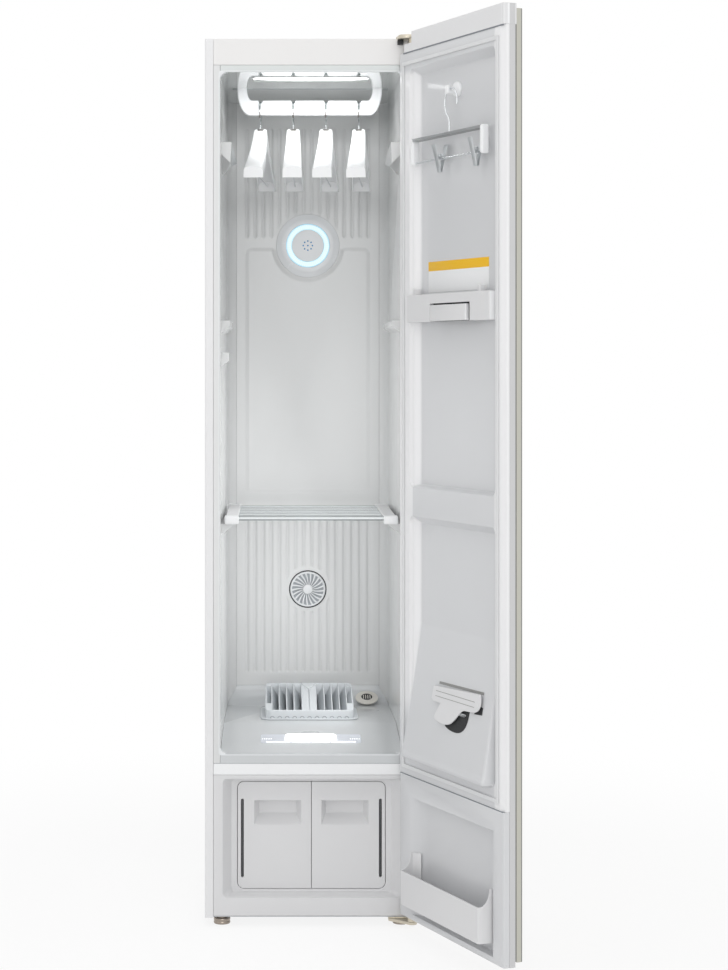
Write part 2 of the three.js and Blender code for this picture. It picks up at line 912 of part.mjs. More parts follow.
function floorHeightAt(y) {
  return cavityBottom + (platformRise * (y - lipDepth)) / (platformStart - lipDepth);
}

function nozzleFrame() {
  const tilt = THREE.MathUtils.degToRad(nozzleTilt);
  const y = cavityDepth - floorCove + floorCove * Math.sin(tilt);
  const z = platformZ + floorCove * (1 - Math.cos(tilt));
  return new THREE.Matrix4().makeRotationX(tilt).setPosition(nozzleX, y, z);
}

function tilted(body, matrix) {
  return solid(toGeometry(body).applyMatrix4(matrix));
}

function makeFloor() {
  const rear = cavityDepth - floorCove;
  const coveTop = platformZ + floorCove;
  const section = [
    [0, cavityBottom],
    [lipDepth, cavityBottom],
    [platformStart, platformZ],
    ...arc(rear, coveTop, floorCove, floorCove, -90, 0, 6),
    [cavityDepth + floorThickness, coveTop],
    ...arc(rear, coveTop, floorCove + floorThickness, floorCove + floorThickness, 0, -90, 6),
    [platformStart, platformZ - floorThickness],
    [lipDepth, cavityBottom - floorThickness],
    [flangeThickness, cavityBottom - floorThickness],
    [flangeThickness, sillBottom],
    [0, sillBottom],
  ];
  const plateBack = cavityDepth + floorThickness;
  const backTrim = box(seam - backHalf, backHalf - seam, rear, plateBack, sillBottom, coveTop);
  const plan = join(cavityPlan(sillBottom, coveTop), backTrim);
  const plate = extrude('x', section, -cavityHalf, cavityHalf).intersect(plan);
  const neck = filterNeckOutline(seam);
  const filterHole = extrude('z', neck, platformZ - floorThickness - overrun, platformZ + overrun);
  const stemRadiusOut = nozzleStemRadius + seam;
  const stemHole = rod('z', 0, 0, -nozzleStemLength - overrun, nozzleStand, stemRadiusOut, 20);
  addPart('cavity_floor', cut(plate, filterHole, tilted(stemHole, nozzleFrame())), palette.liner);

  const lampEnd = floorLampStart + floorLampDepth;
  const lampSection = [
    [floorLampStart, floorHeightAt(floorLampStart) + seam],
    [lampEnd, floorHeightAt(lampEnd) + seam],
    [lampEnd, floorHeightAt(lampEnd) + seam + floorLampThickness],
    [floorLampStart, floorHeightAt(floorLampStart) + seam + floorLampThickness],
  ];
  addPart('floor_lamp_lens', extrude('x', lampSection, -floorLampWidth / 2, floorLampWidth / 2), palette.lens);
}

function makeNozzle() {
  const top = nozzleStand + nozzleThickness;
  const body = turned([
    [0, -nozzleStemLength],
    [nozzleStemRadius, -nozzleStemLength],
    [nozzleStemRadius, nozzleStand],
    [nozzleRadius, nozzleStand],
    [nozzleRadius, nozzleStand + nozzleThickness / 2],
    [nozzleMouthRadius, top],
    [nozzleMouthRadius, top - nozzleMouthDepth],
    [0, top - nozzleMouthDepth],
  ], 28);
  addPart('steam_nozzle', tilted(body, nozzleFrame()), palette.warmWhite);
}

function grooveRow(bottom, top) {
  const pitch = grooveSpan / (grooveCount - 1);
  const radius = grooveWidth / 2 - seam;
  return Array.from({ length: grooveCount }, (_, i) => {
    const x = i * pitch - grooveSpan / 2;
    const [left, right] = [x - grooveWidth / 2, x + grooveWidth / 2];
    const outline = roundedRectangle(left, right, bottom, top, radius, 2);
    return extrude('y', outline, cavityDepth - overrun, cavityDepth + grooveDepth);
  });
}

function makeBackWall() {
  const wallBack = cavityDepth + backThickness;
  const width = backHalf - seam;
  const sheet = box(-width, width, cavityDepth, wallBack, backWallBottom, backWallTop);
  const out = (recessBevel / recessDepth) * overrun;
  const height = recessTop - recessBottom;
  const recess = loft([
    frameRing(recessHalf + out, recessBottom - out, height + 2 * out, cavityDepth - overrun,
      recessRadius + out),
    frameRing(recessHalf - recessBevel, recessBottom + recessBevel, height - 2 * recessBevel,
      cavityDepth + recessDepth, recessRadius - recessBevel),
  ]);
  const hollowBack = cavityDepth + recessDepth + overrun;
  const boss = rod('y', 0, discHeight, cavityDepth - 2 * overrun, hollowBack, discBossRadius, 40);
  const land = rod('y', 0, fanHeight, cavityDepth - 2 * overrun, hollowBack, grilleLandRadius, 40);
  const upper = grooveRow(discHeight + grooveOverDisc, cavityTop - grooveHeadroom);
  const lower = grooveRow(backWallBottom + grooveFootroom, shelfHeight + grooveOverShelf);
  const duct = rod('y', 0, fanHeight, cavityDepth - overrun, wallBack + overrun, fanDuctRadius, 32);
  const pressings = [recess, ...upper].map((form) => cut(form, boss));
  const grooves = lower.map((form) => cut(form, land));
  addPart('cavity_back_wall', cut(sheet, ...pressings, ...grooves, duct), palette.liner);
}

function makeLightDisc() {
  const back = cavityDepth - seam;
  const front = back - discThickness;
  const upright = new THREE.Matrix4().makeRotationX(Math.PI / 2).setPosition(0, back, discHeight);
  const groove = lensThickness + seam;
  const profile = [
    [0, 0],
    [discRadius, 0],
    [discRadius, discThickness - discCrown],
    [lensOuterRadius + seam, discThickness],
    [lensOuterRadius + seam, discThickness - groove],
    [lensInnerRadius - seam, discThickness - groove],
    [lensInnerRadius - seam, discThickness],
    [0, discThickness],
  ];
  addPart('light_disc', tilted(turned(profile, 36), upright), palette.liner);
  const ringBack = front + lensThickness;
  const outer = rod('y', 0, discHeight, front, ringBack, lensOuterRadius, 36);
  const inner = rod('y', 0, discHeight, front - overrun, ringBack + overrun, lensInnerRadius, 36);
  addPart('light_ring_lens', cut(outer, inner), palette.ring);
}

function makeFan() {
  const grilleBack = cavityDepth - seam;
  const grilleFront = grilleBack - grilleThickness;
  const disc = rod('y', 0, fanHeight, grilleFront, grilleBack, grilleRadius, 36);
  const hub = rod('y', 0, fanHeight, grilleFront - grilleHubRise, grilleBack, grilleHub, 20);
  const step = 360 / grilleSlotCount;
  const slots = Array.from({ length: grilleSlotCount }, (_, i) => {
    const start = i * step;
    const end = start + step * grilleSlotShare;
    const outline = [
      ...arc(0, fanHeight, grilleSlotInner, grilleSlotInner, start, end, 1),
      ...arc(0, fanHeight, grilleSlotOuter, grilleSlotOuter, end, start, 2),
    ];
    return extrude('y', outline, grilleFront - overrun, grilleBack + overrun);
  });
  addPart('fan_grille', cut(join(disc, hub), ...slots), palette.liner);

  const fanFront = cavityDepth + backThickness + fanSetback;
  const fanBack = fanFront + fanWidth;
  const blades = Array.from({ length: fanBladeCount }, (_, i) => {
    const angle = (i * 2 * Math.PI) / fanBladeCount;
    const halfBlade = fanBladeThickness / 2;
    const corners = [[0, -halfBlade], [fanRadius, -halfBlade], [fanRadius, halfBlade], [0, halfBlade]];
    const turnedCorners = corners.map(([x, z]) => [
      x * Math.cos(angle) - z * Math.sin(angle),
      fanHeight + x * Math.sin(angle) + z * Math.cos(angle),
    ]);
    return extrude('y', turnedCorners, fanFront, fanBack);
  });
  const fanHub = rod('y', 0, fanHeight, fanFront, fanBack, fanHubRadius, 20);
  const backDisc = rod('y', 0, fanHeight, fanBack - fanBladeThickness, fanBack, fanRadius, 32);
  const bore = rod('y', 0, fanHeight, fanFront - overrun, fanBack + overrun, shaftRadius + seam, 16);
  addPart('circulation_fan', cut(join(fanHub, backDisc, ...blades), bore), palette.greyPlastic);

  const motorFront = fanBack + motorGap;
  const motorBack = bodyDepth - sheetSteel - seam;
  const motor = rod('y', 0, fanHeight, motorFront, motorBack, motorRadius, 24);
  const shaft = rod('y', 0, fanHeight, fanFront, motorBack, shaftRadius, 16);
  addPart('fan_motor', join(motor, shaft), palette.darkSteel);
}

function makeCavity() {
  const clip = wallBlock(-1, clipReach, clipStart, clipLength, cavityLevel(clipShare), clipHeight);
  addPart('cavity_left_wall', join(cavityWall(-1), ...wallLedges(-1), clip), palette.liner);
  addPart('cavity_right_wall', join(cavityWall(1), ...wallLedges(1)), palette.liner);
  makeCeiling();
  makeFloor();
  makeNozzle();
  makeBackWall();
  makeLightDisc();
  makeFan();
}

// Filter cassette

function filterNeckOutline(margin) {
  const reach = filterHalf - filterNeckInset + margin;
  const front = filterFront + filterNeckInset - margin;
  const back = filterFront + filterDepth - filterNeckInset + margin;
  return roundedRectangle(-reach, reach, front, back, filterCorner / 2 + margin);
}

// The handle rib that runs up the middle of the cassette.
function ribSection(crest, wallTop, back) {
  const front = filterFront + filterWallLean;
  return [
    [front, wallTop - filterSkin],
    [back, crest - filterSkin],
    [back, crest + filterRibRise],
    [front, wallTop + filterRibRise],
  ];
}

function makeFilter() {
  const base = platformZ + seam;
  const flangeTop = base + filterFlangeThickness;
  const back = filterFront + filterDepth;
  const wallTop = platformZ + filterWallHeight;
  const crest = wallTop + filterTopRise;
  const flangeOutline = roundedRectangle(
    -filterFlangeHalf, filterFlangeHalf, filterFront - filterFlangeReach, back + filterFlangeReach,
    filterCorner);
  const flange = extrude('z', flangeOutline, base, flangeTop);
  const section = [
    [filterFront, base],
    [back, base],
    [back, crest],
    [filterFront + filterWallLean, wallTop],
  ];
  const blockOutline = roundedRectangle(-filterHalf, filterHalf, filterFront, back, filterCorner);
  const plan = extrude('z', blockOutline, base, crest);
  const block = extrude('x', section, -filterHalf, filterHalf).intersect(plan);
  const neck = extrude('z', filterNeckOutline(0), platformZ - filterNeck, flangeTop);
  const middle = (filterSlotCount - 1) / 2;
  const slope = filterTopRise / (filterDepth - filterWallLean);
  const slotFront = filterFront + filterWallLean + filterSlotMargin;
  const slotBack = back - filterSlotMargin;
  const slotSection = [
    [slotFront, wallTop + (slotFront - filterFront - filterWallLean) * slope - filterSlotDepth],
    [slotBack, crest - filterSlotMargin * slope - filterSlotDepth],
    [slotBack, crest + overrun],
    [slotFront, crest + overrun],
  ];
  const places = Array.from({ length: filterSlotCount }, (_, i) => i - middle).filter((i) => i !== 0);
  const slots = places.map((i) => {
    const x = i * filterSlotPitch;
    return extrude('x', slotSection, x - filterSlotWidth / 2, x + filterSlotWidth / 2);
  });
  const neckFront = filterFront + filterNeckInset + filterWall;
  const spaceFront = filterFront + filterWallLean + filterWall;
  const spaceBack = back - filterNeckInset - filterWall;
  const spaceSection = [
    [neckFront, platformZ - filterNeck - overrun],
    [spaceBack, platformZ - filterNeck - overrun],
    [spaceBack, crest - filterSkin - filterWall],
    [spaceFront, wallTop - filterSkin],
    [neckFront, base],
  ];
  const spaceHalf = filterHalf - filterNeckInset - filterWall;
  const space = extrude('x', spaceSection, -spaceHalf, spaceHalf);
  const rib = extrude('x', ribSection(crest, wallTop, back), -filterRibHalf, filterRibHalf);
  const shell = cut(join(flange, block, neck), space, ...slots);
  addPart('filter_cassette', join(shell, rib), palette.greyPlastic);
}

// Shelf

function makeShelf() {
  const back = shelfFront + shelfDepth;
  const top = shelfHeight + railHeight;
  const rodZ = top - railHeight * railInsetShare;
  const rodInset = railWidth * railInsetShare;
  const innerX = shelfHalf - railWidth;
  const rails = [-1, 1].map((side) => {
    const outline = [
      [shelfHalf, shelfFront],
      [shelfHalf, back],
      [innerX, back],
      [innerX, shelfFront],
    ].map(([x, y]) => [side * x, y]);
    return extrude('z', outline, shelfHeight, top);
  });
  const reach = innerX + rodInset;
  const frontRod = rod('x', shelfFront + rodInset, rodZ, -reach, reach, frontRodRadius, 12);
  const pitch = (shelfDepth - railWidth) / (rodCount - 1);
  const rods = Array.from({ length: rodCount - 1 }, (_, i) => {
    const y = shelfFront + rodInset + (i + 1) * pitch;
    return rod('x', y, rodZ, -reach, reach, rodRadius, 8);
  });
  addPart('shelf', join(...rails, frontRod, ...rods), palette.chrome);
}

// Moving hanger bar with its drive

function hangerX(i) {
  return (i - (hangerYawDegrees.length - 1) / 2) * hangerPitch;
}

function makeBar() {
  const carriageBottom = ceilingTop + seam;
  const carriageTop = carriageBottom + carriageThickness;
  const [front, back] = [barCentreY - barDepth / 2, barCentreY + barDepth / 2];
  const innerCorner = barCorner - armWidth / 2;
  const barTop = barBottom + barHeight;
  const [bendX, bendZ] = [barHalf - armWidth - innerCorner, barTop + innerCorner];
  const outline = [
    [-barHalf, carriageTop],
    ...arc(-barHalf + barCorner, barBottom + barCorner, barCorner, barCorner, 180, 270),
    ...arc(barHalf - barCorner, barBottom + barCorner, barCorner, barCorner, -90, 0),
    [barHalf, carriageTop],
    [barHalf - armWidth, carriageTop],
    ...arc(bendX, bendZ, innerCorner, innerCorner, 0, -90, 3),
    ...arc(-bendX, bendZ, innerCorner, innerCorner, 270, 180, 3),
    [armWidth - barHalf, carriageTop],
  ];
  const bow = extrude('y', outline, front, back);
  const plateHalf = barHalf + carriageMargin;
  const [plateFront, plateBack] = [barCentreY - carriageDepth / 2, barCentreY + carriageDepth / 2];
  const plate = box(-plateHalf, plateHalf, plateFront, plateBack, carriageBottom, carriageTop);
  const pegY = plateBack + pegRadius * 2;
  const tabHalf = armWidth / 2;
  const tabBack = pegY + pegRadius * 2;
  const tab = box(-tabHalf, tabHalf, plateBack - overrun, tabBack, carriageBottom, carriageTop);
  const slotHalf = pegRadius + pegClearance;
  const [slotBottom, slotTop] = [carriageBottom - overrun, carriageTop + overrun];
  const slot = box(-slotHalf, slotHalf, pegY - slotHalf, tabBack + overrun, slotBottom, slotTop);
  const notchZ = barTop - notchCentreDrop;
  const seats = hangerYawDegrees.map((_, i) => {
    const x = hangerX(i);
    const [left, right] = [x - notchWidth / 2, x + notchWidth / 2];
    const block = box(left, right, front - overrun, back + overrun, notchZ, barTop + overrun);
    const round = rod('x', barCentreY, notchZ, left - overrun, right + overrun, notchRadius, 32);
    return cut(block, round);
  });
  addPart('hanger_bar', cut(join(bow, plate, tab), slot, ...seats), palette.whitePlastic);

  const axisY = pegY + rockerArm;
  const rockerBottom = carriageTop + seam;
  const rockerTop = rockerBottom + rockerThickness;
  const arm = box(-rockerWidth / 2, rockerWidth / 2, pegY, axisY, rockerBottom, rockerTop);
  const ends = [
    rod('z', 0, pegY, rockerBottom, rockerTop, rockerWidth / 2, 16),
    rod('z', 0, axisY, rockerBottom, rockerTop, rockerWidth / 2, 16),
  ];
  const peg = rod('z', 0, pegY, carriageBottom, rockerTop, pegRadius, 16);
  const bore = rod('z', 0, axisY, rockerBottom - overrun, rockerTop + overrun, driveShaftRadius + seam, 16);
  addPart('bar_rocker', cut(join(arm, ...ends, peg), bore), palette.greyPlastic);

  const baseTop = rockerBottom - seam;
  const baseFront = axisY - driveShaftRadius * 2;
  const base = box(-driveBaseWidth / 2, driveBaseWidth / 2, baseFront, baseFront + driveBaseDepth,
    carriageBottom, baseTop);
  const bridgeBottom = rockerTop + seam;
  const bridge = box(-driveBaseWidth / 2, driveBaseWidth / 2, baseFront, baseFront + driveBaseDepth,
    bridgeBottom, bridgeBottom + rockerThickness);
  const post = box(-driveBaseWidth / 2, driveBaseWidth / 2, axisY + rockerWidth, baseFront + driveBaseDepth,
    carriageBottom, bridgeBottom + rockerThickness);
  const can = rod('z', 0, axisY, bridgeBottom, bridgeBottom + driveMotorHeight, driveMotorRadius, 24);
  const shaft = rod('z', 0, axisY, carriageBottom, bridgeBottom + rockerThickness, driveShaftRadius, 16);
  addPart('bar_motor', join(base, bridge, post, can, shaft), palette.darkSteel);
}

// One hanger, drawn around its hook: the swivel axis is X = Y = 0.

function hangerSection(share) {
  const s = Math.abs(share);
  const width = THREE.MathUtils.lerp(hangerCentreWidth, hangerEndWidth, s ** hangerFlarePower);
  const thickness = THREE.MathUtils.lerp(hangerCentreThickness, hangerEndThickness, s);
  const bow = 1 - Math.cos((s * Math.PI) / 2) ** hangerBowPower;
  const top = hangerTopZ - hangerDrop * THREE.MathUtils.lerp(s, bow, hangerBowShare);
  const y = share * hangerHalf;
  const [w, r] = [width / 2, thickness / 4];
  return [
    [-w, y, top - thickness], [w, y, top - thickness], [w, y, top - r * 2],
    [w * hangerShoulderShare, y, top - r / 2], [0, y, top],
    [-w * hangerShoulderShare, y, top - r / 2], [-w, y, top - r * 2],
  ];
}

function makeHangers() {
  const hookTop = barBottom + barHeight - notchCentreDrop + hookRadius;
  const hookCentre = hookTop - hookRadius;
  const socketBottom = hangerTopZ - hookSocketDepth;
  hangerYawDegrees.forEach((yaw, i) => {
    const group = new THREE.Group();
    group.position.set(hangerX(i), barCentreY, 0);
    group.rotation.z = THREE.MathUtils.degToRad(yaw);
    cabinet.add(group);

    const over = arc(0, hookCentre, hookRadius, hookRadius, 180, 0, 8).map(([y, z]) => [0, y, z]);
    const path = [
      [0, -hookRadius, hookCentre - hookTipDrop],
      ...over,
      [0, hookRadius, hookCentre - hookRadius / 2],
      [0, hookRadius * hookBendShare, hookCentre - hookRadius - hookTipDrop],
      [0, hookRadius * hookBendShare / 3, hookCentre - hookRadius - hookShankJoin / 2],
      [0, 0, hookCentre - hookRadius - hookShankJoin],
      [0, 0, (hookCentre - hookRadius - hookShankJoin + socketBottom) / 2],
      [0, 0, socketBottom + seam],
    ];
    const tip = solid(new THREE.SphereGeometry(hookTipRadius, 8, 6)
      .translate(0, -hookRadius, hookCentre - hookTipDrop));
    const hook = join(wire(path, wireRadius, 30, 6), tip);
    addPart(`hanger_hook_${i + 1}`, hook, palette.chrome, group);

    const sections = Array.from({ length: hangerStations + 1 }, (_, k) => (
      hangerSection((2 * k) / hangerStations - 1)));
    const socketRadius = wireRadius + hookSocketClearance;
    const socket = rod('z', 0, 0, socketBottom, hangerTopZ + overrun, socketRadius, 10);
    addPart(`hanger_${i + 1}`, cut(loft(sections), socket), palette.whitePlastic, group);
  });
}

// Water tanks, their bay and the frame around them

function frameRing(halfWidth, bottom, height, y, corner) {
  return roundedRectangle(-halfWidth, halfWidth, bottom, bottom + height, corner)
    .map(([x, z]) => [x, y, z]);
}

function makeLowerFrame() {
  const block = box(-frontHalf, frontHalf, 0, frameDepth, frameBottom, frameTop);
  const slope = (framePocketHalf - frameBackHalf) / faceSetback;
  const out = slope * overrun;
  const mouth = loft([
    frameRing(framePocketHalf + out, framePocketBottom - out, framePocketHeight + 2 * out, -overrun,
      framePocketCorner),
    frameRing(frameBackHalf, frameBackBottom, frameBackHeight, faceSetback, framePocketCorner),
  ]);
  const clear = tankGap;
  const openingOutline = roundedRectangle(
    -tankHalf - clear, tankHalf + clear, tankBottom - clear, tankBottom + tankHeight + clear,
    tankCorner + clear);
  const opening = extrude('y', openingOutline, 0, frameDepth + overrun);
  addPart('lower_front_frame', cut(block, mouth, opening), palette.greyPlastic);

  const bayHalf = tankHalf + bayClearance;
  const bayFront = frameDepth + seam;
  const bottom = tankBottom - seam;
  const top = tankBottom + tankHeight + bayClearance;
  const outer = box(-bayHalf - bayWall, bayHalf + bayWall, bayFront, bayBack + bayWall, bottom - bayWall,
    top + bayWall);
  const inner = box(-bayHalf, bayHalf, bayFront - overrun, bayBack, bottom, top);
  addPart('tank_bay', cut(outer, inner), palette.galvanised);
}

function pocketRings(inner, outer, margin, from, to) {
  const lowSide = Math.min(inner, outer) - margin;
  const highSide = Math.max(inner, outer) + margin;
  const top = pocketBottom + pocketHeight + margin;
  const bottom = pocketBottom - margin;
  const mouth = [
    [lowSide, from, bottom],
    [highSide, from, bottom],
    [highSide, from, top],
    [lowSide, from, top],
  ];
  const [lowEnd, highEnd] = [lowSide + pocketSlope, highSide - pocketSlope];
  const rise = bottom + pocketRise;
  return [mouth, [[lowEnd, to, rise], [highEnd, to, rise], [highEnd, to, top], [lowEnd, to, top]]];
}

// Front view of a tank, with its outer corners rounded and its walls moved in by a margin.
function tankOutline(side, margin) {
  const radius = tankCorner - margin;
  const corner = tankHalf - tankCorner;
  const top = tankBottom + tankHeight;
  const inner = tankGap / 2 + margin;
  return [
    [inner, tankBottom + margin],
    ...arc(corner, tankBottom + tankCorner, radius, radius, -90, 0, 4),
    ...arc(corner, top - tankCorner, radius, radius, 0, 90, 4),
    [inner, top - margin],
  ].map(([x, z]) => [side * x, z]);
}

function makeTank(name, side) {
  const clearHalf = tankGap / 2;
  const outer = side * tankHalf;
  const inner = side * clearHalf;
  const front = faceSetback;
  const faceBack = front + tankFrontThickness;
  const top = tankBottom + tankHeight;
  const face = extrude('y', tankOutline(side, 0), front, faceBack);
  const pocketInner = side * pocketInset;
  const pocketOuter = side * (pocketInset + pocketWidth);
  const housingBack = front + pocketDepth + pocketWall;
  const housing = loft(pocketRings(pocketInner, pocketOuter, pocketWall, front, housingBack));
  const hollow = loft(pocketRings(pocketInner, pocketOuter, 0, front - seam, front + pocketDepth));
  const windowOuter = side * (tankHalf - windowInset);
  const windowInner = side * (tankHalf - windowInset - windowWidth);
  const [windowLow, windowHigh] = [windowOuter, windowInner].sort((a, b) => a - b);
  const windowOutline = roundedRectangle(windowLow, windowHigh, windowBottom, windowBottom + windowHeight,
    windowWidth / 2 - seam, 2);
  const window = extrude('y', windowOutline, front - overrun, faceBack + overrun);
  addPart(`${name}_front`, cut(join(face, housing), hollow, window), palette.greyPlastic);

  const bodyFront = faceBack + seam;
  const bodyBack = faceBack + tankDepth;
  const [low, high] = [Math.min(inner, outer), Math.max(inner, outer)];
  const block = extrude('y', tankOutline(side, 0), bodyFront, bodyBack);
  const space = extrude('y', tankOutline(side, tankWall), bodyFront + tankWall, bodyBack - tankWall);
  const spaceBack = housingBack + seam;
  const wallBack = spaceBack + tankWall;
  const spaceMargin = pocketWall + seam;
  const handleSpace = loft(pocketRings(pocketInner, pocketOuter, spaceMargin, front, spaceBack));
  const handleWall = loft(pocketRings(pocketInner, pocketOuter, spaceMargin + tankWall, front, wallBack));
  const [fillX, fillY] = [(low + high) / 2, (bodyFront + bodyBack) / 2];
  const fill = rod('z', fillX, fillY, top - tankWall - overrun, top + overrun, tankFillRadius, 20);
  const wall = cut(block, cut(space, handleWall), handleSpace, fill);
  addPart(name, wall, palette.tank);
}

// Machine space behind and below the tanks

function makeMachines() {
  const bottom = trayTop + seam;
  const left = machineMargin - shellHalf;
  const front = machineFront;
  const [generatorRight, generatorBack] = [left + generatorWidth, front + generatorDepth];
  const tankOutline = roundedRectangle(left, generatorRight, front, generatorBack, generatorCorner);
  const generatorTop = bottom + generatorHeight;
  const generator = extrude('z', tankOutline, bottom, generatorTop);
  const spaceOutline = roundedRectangle(left + vesselWall, generatorRight - vesselWall, front + vesselWall,
    generatorBack - vesselWall, generatorCorner - vesselWall);
  const space = extrude('z', spaceOutline, bottom + vesselWall, generatorTop - vesselWall);
  const [spoutX, spoutY] = [left + generatorWidth / 2, front + generatorDepth / 2];
  const spoutTop = generatorTop + generatorCorner;
  const spout = rod('z', spoutX, spoutY, generatorTop - vesselWall, spoutTop, pipeRadius, 16);
  const spoutBore = rod('z', spoutX, spoutY, generatorTop - 2 * vesselWall, spoutTop + overrun, pipeBore, 16);
  addPart('steam_generator', cut(join(generator, spout), space, spoutBore), palette.darkSteel);

  const exchangerLeft = generatorRight + machineMargin;
  const exchangerRight = exchangerLeft + exchangerWidth;
  const exchangerTop = bottom + exchangerHeight;
  const exchanger = box(exchangerLeft, exchangerRight, front, front + exchangerDepth, bottom, exchangerTop);
  const finPitch = (exchangerHeight - exchangerFrame) / finCount;
  const fins = Array.from({ length: finCount }, (_, i) => {
    const low = bottom + exchangerFrame + i * finPitch;
    return box(exchangerLeft - overrun, exchangerRight + overrun, front + exchangerFrame,
      front + exchangerDepth - exchangerFrame, low, low + finPitch * finGapShare);
  });
  const compressorX = exchangerRight + machineMargin + compressorRadius;
  const compressorY = front + compressorRadius;
  const shoulder = bottom + compressorHeight;
  const can = turned([
    [0, bottom],
    [compressorRadius, bottom],
    [compressorRadius, shoulder],
    [compressorRadius * compressorShoulderShare, shoulder + compressorDome],
    [0, shoulder + compressorDome],
  ], 28).translate([compressorX, compressorY, 0]);
  const plate = box(exchangerLeft, compressorX, front, front + exchangerDepth, bottom, bottom + machinePlate);
  const pipe = rod('x', compressorY, shoulder - compressorDome, exchangerRight - exchangerFrame, compressorX,
    connectingPipeRadius);
  addPart('heat_pump', join(cut(exchanger, ...fins), can, plate, pipe), palette.darkSteel);
}

// Hinges

function makeBottomHinge() {
  const plateBottom = lowerPlateTop - lowerPlateThickness;
  const nose = lowerPlateRight - hingeX;
  const plateOutline = [
    [lowerPlateLeft, lowerPlateBack],
    [lowerPlateLeft, 0],
    ...arc(hingeX, hingeY, nose, nose, 210, 360, 6),
    [lowerPlateRight, lowerPlateBack],
  ];
  const plate = extrude('z', plateOutline, plateBottom, lowerPlateTop);
  const padRight = half - panelEdge - seam;
  const pad = box(lowerPlateLeft, padRight, shellFront, lowerPlateBack, plateBottom, baseHeight - seam);
  const boss = rod('z', hingeX, hingeY, plateBottom, doorBottom - seam, lowerBossRadius, 20);
  const pin = rod('z', hingeX, hingeY, plateBottom, doorBottom + lowerPinLength, pinRadius, 16);
  addPart('bottom_hinge_bracket', join(plate, pad, boss, pin), palette.bracket);
}

function makeTopHinge() {
  const basePlateBottom = bodyHeight + seam;
  const basePlateTop = basePlateBottom + upperPlateThickness;
  const armBottom = doorTop - facePanelInset + seam;
  const base = box(upperPlateLeft, upperPlateRight, -seam, upperPlateBack, basePlateBottom, basePlateTop);
  const tongue = box(upperArmLeft, upperPlateRight, -stopDepth, upperArmRadius, basePlateBottom, basePlateTop);
  const armOutline = [
    [upperArmLeft, -seam],
    [upperArmLeft, -stopDepth],
    ...arc(hingeX, hingeY, upperArmRadius, upperArmRadius, 200, 360, 6),
    [hingeX + upperArmRadius, -seam],
  ];
  const arm = extrude('z', armOutline, armBottom, basePlateTop);
  const inArm = armBottom + seam;
  const boss = rod('z', hingeX, hingeY, armBottom - upperBossLength, inArm, upperBossRadius, 16);
  const pin = rod('z', hingeX, hingeY, armBottom - upperPinLength, inArm, pinRadius, 16);
  const stopRight = upperArmLeft + stopWidth;
  const stop = box(upperArmLeft, stopRight, -stopDepth, -seam, armBottom - stopHeight, inArm);
  const screws = screwPlaces.map(([shareX, shareY]) => {
    const x = THREE.MathUtils.lerp(upperPlateLeft, upperPlateRight, shareX);
    const y = upperPlateBack * shareY;
    return rod('z', x, y, basePlateTop - seam, basePlateTop + screwHead, screwRadius, 12);
  });
  addPart('top_hinge_bracket', join(base, tongue, arm, boss, pin, stop, ...screws), palette.bracket);
}

// Door

function makeDoorShell() {
  const faceBottom = doorBottom + facePanelInset;
  const faceTop = doorTop - facePanelInset;
  const left = -doorOverlap;
  const facePlan = roundedRectangle(left, doorLength, -doorOuter, facePanelBack + overrun, facePanelRadius);
  const faceSolid = cut(doorPlan(facePlan, faceBottom, faceTop),
    doorBox(left - overrun, doorLength + overrun, facePanelBack, facePanelBack + 2 * overrun, 0, doorTop));
  const hollow = doorBox(left + facePanelSkin, doorLength - facePanelSkin, facePanelSkin - doorOuter,
    facePanelBack + overrun, faceBottom + facePanelSkin, faceTop - facePanelSkin);
  addPart('door_front_panel', cut(faceSolid, hollow), palette.trim, door);

  const ringFront = linerBack - seam;
  const ringBack = facePanelBack + doorGroove;
  const neckFront = facePanelBack + seam;
  const ringOuter = doorBox(left, doorLength, ringBack, ringFront, doorBottom, linerTop);
  const ringInner = doorBox(left + frameRingWidth, doorLength - frameRingWidth, ringBack - overrun,
    ringFront + overrun, pocketTubBottom - tubWall - seam, linerTop - frameRingWidth);
  const neck = doorBox(left + neckInset / 2, doorLength - neckInset, neckFront, neckBack,
    doorBottom + neckInset, linerTop - neckInset);
  const blockHalf = lowerBossRadius + tubWall;
  const pinTop = doorBottom + lowerPinLength;
  const block = doorBox(-blockHalf, blockHalf, neckFront, ringFront, doorBottom, pinTop + blockHalf);
  const bore = rod('z', 0, 0, doorBottom - overrun, pinTop + overrun, pinRadius + pinClearance, 16);
  addPart('door_frame', cut(join(cut(ringOuter, ringInner), neck, block), bore), palette.greyPlastic, door);

  const capPlan = [
    [blockHalf - capChamfer - overrun, neckFront],
    [doorLength, neckFront],
    ...arc(doorLength - freeCornerRadius, doorInner - freeCornerRadius, freeCornerRadius, freeCornerRadius,
      0, 90, 2),
    [capChamfer - blockHalf, doorInner],
    [blockHalf - capChamfer - overrun, pinRadius],
  ];
  const notchBottom = doorTop - capNotchHeight;
  const notch = doorBox(-capNotchLength, capNotchLength, -doorOuter, doorInner + overrun, notchBottom,
    doorTop + overrun);
  const capBore = rod('z', 0, 0, capBottom - overrun, doorTop, pinRadius + pinClearance, 16);
  addPart('door_top_cap', cut(doorPlan(capPlan, capBottom, doorTop), notch, capBore), palette.doorLiner, door);
}

function linerSlab(bottom, top) {
  const left = -doorOverlap;
  const outline = [
    [doorLength, linerBack],
    ...arc(doorLength - freeCornerRadius, doorInner - freeCornerRadius, freeCornerRadius, freeCornerRadius,
      0, 90, 2),
    ...arc(left + hingeCornerRadius, doorInner - hingeCornerRadius, hingeCornerRadius, hingeCornerRadius,
      90, 180, 3),
    [left, linerBack],
  ];
  return doorPlan(outline, bottom, top);
}

function tub(bottom, top, margin, from, to) {
  const outline = roundedRectangle(tubLeft - margin, tubRight + margin, bottom - margin, top + margin,
    tubCorner + margin);
  return doorElevation(outline, from, to);
}

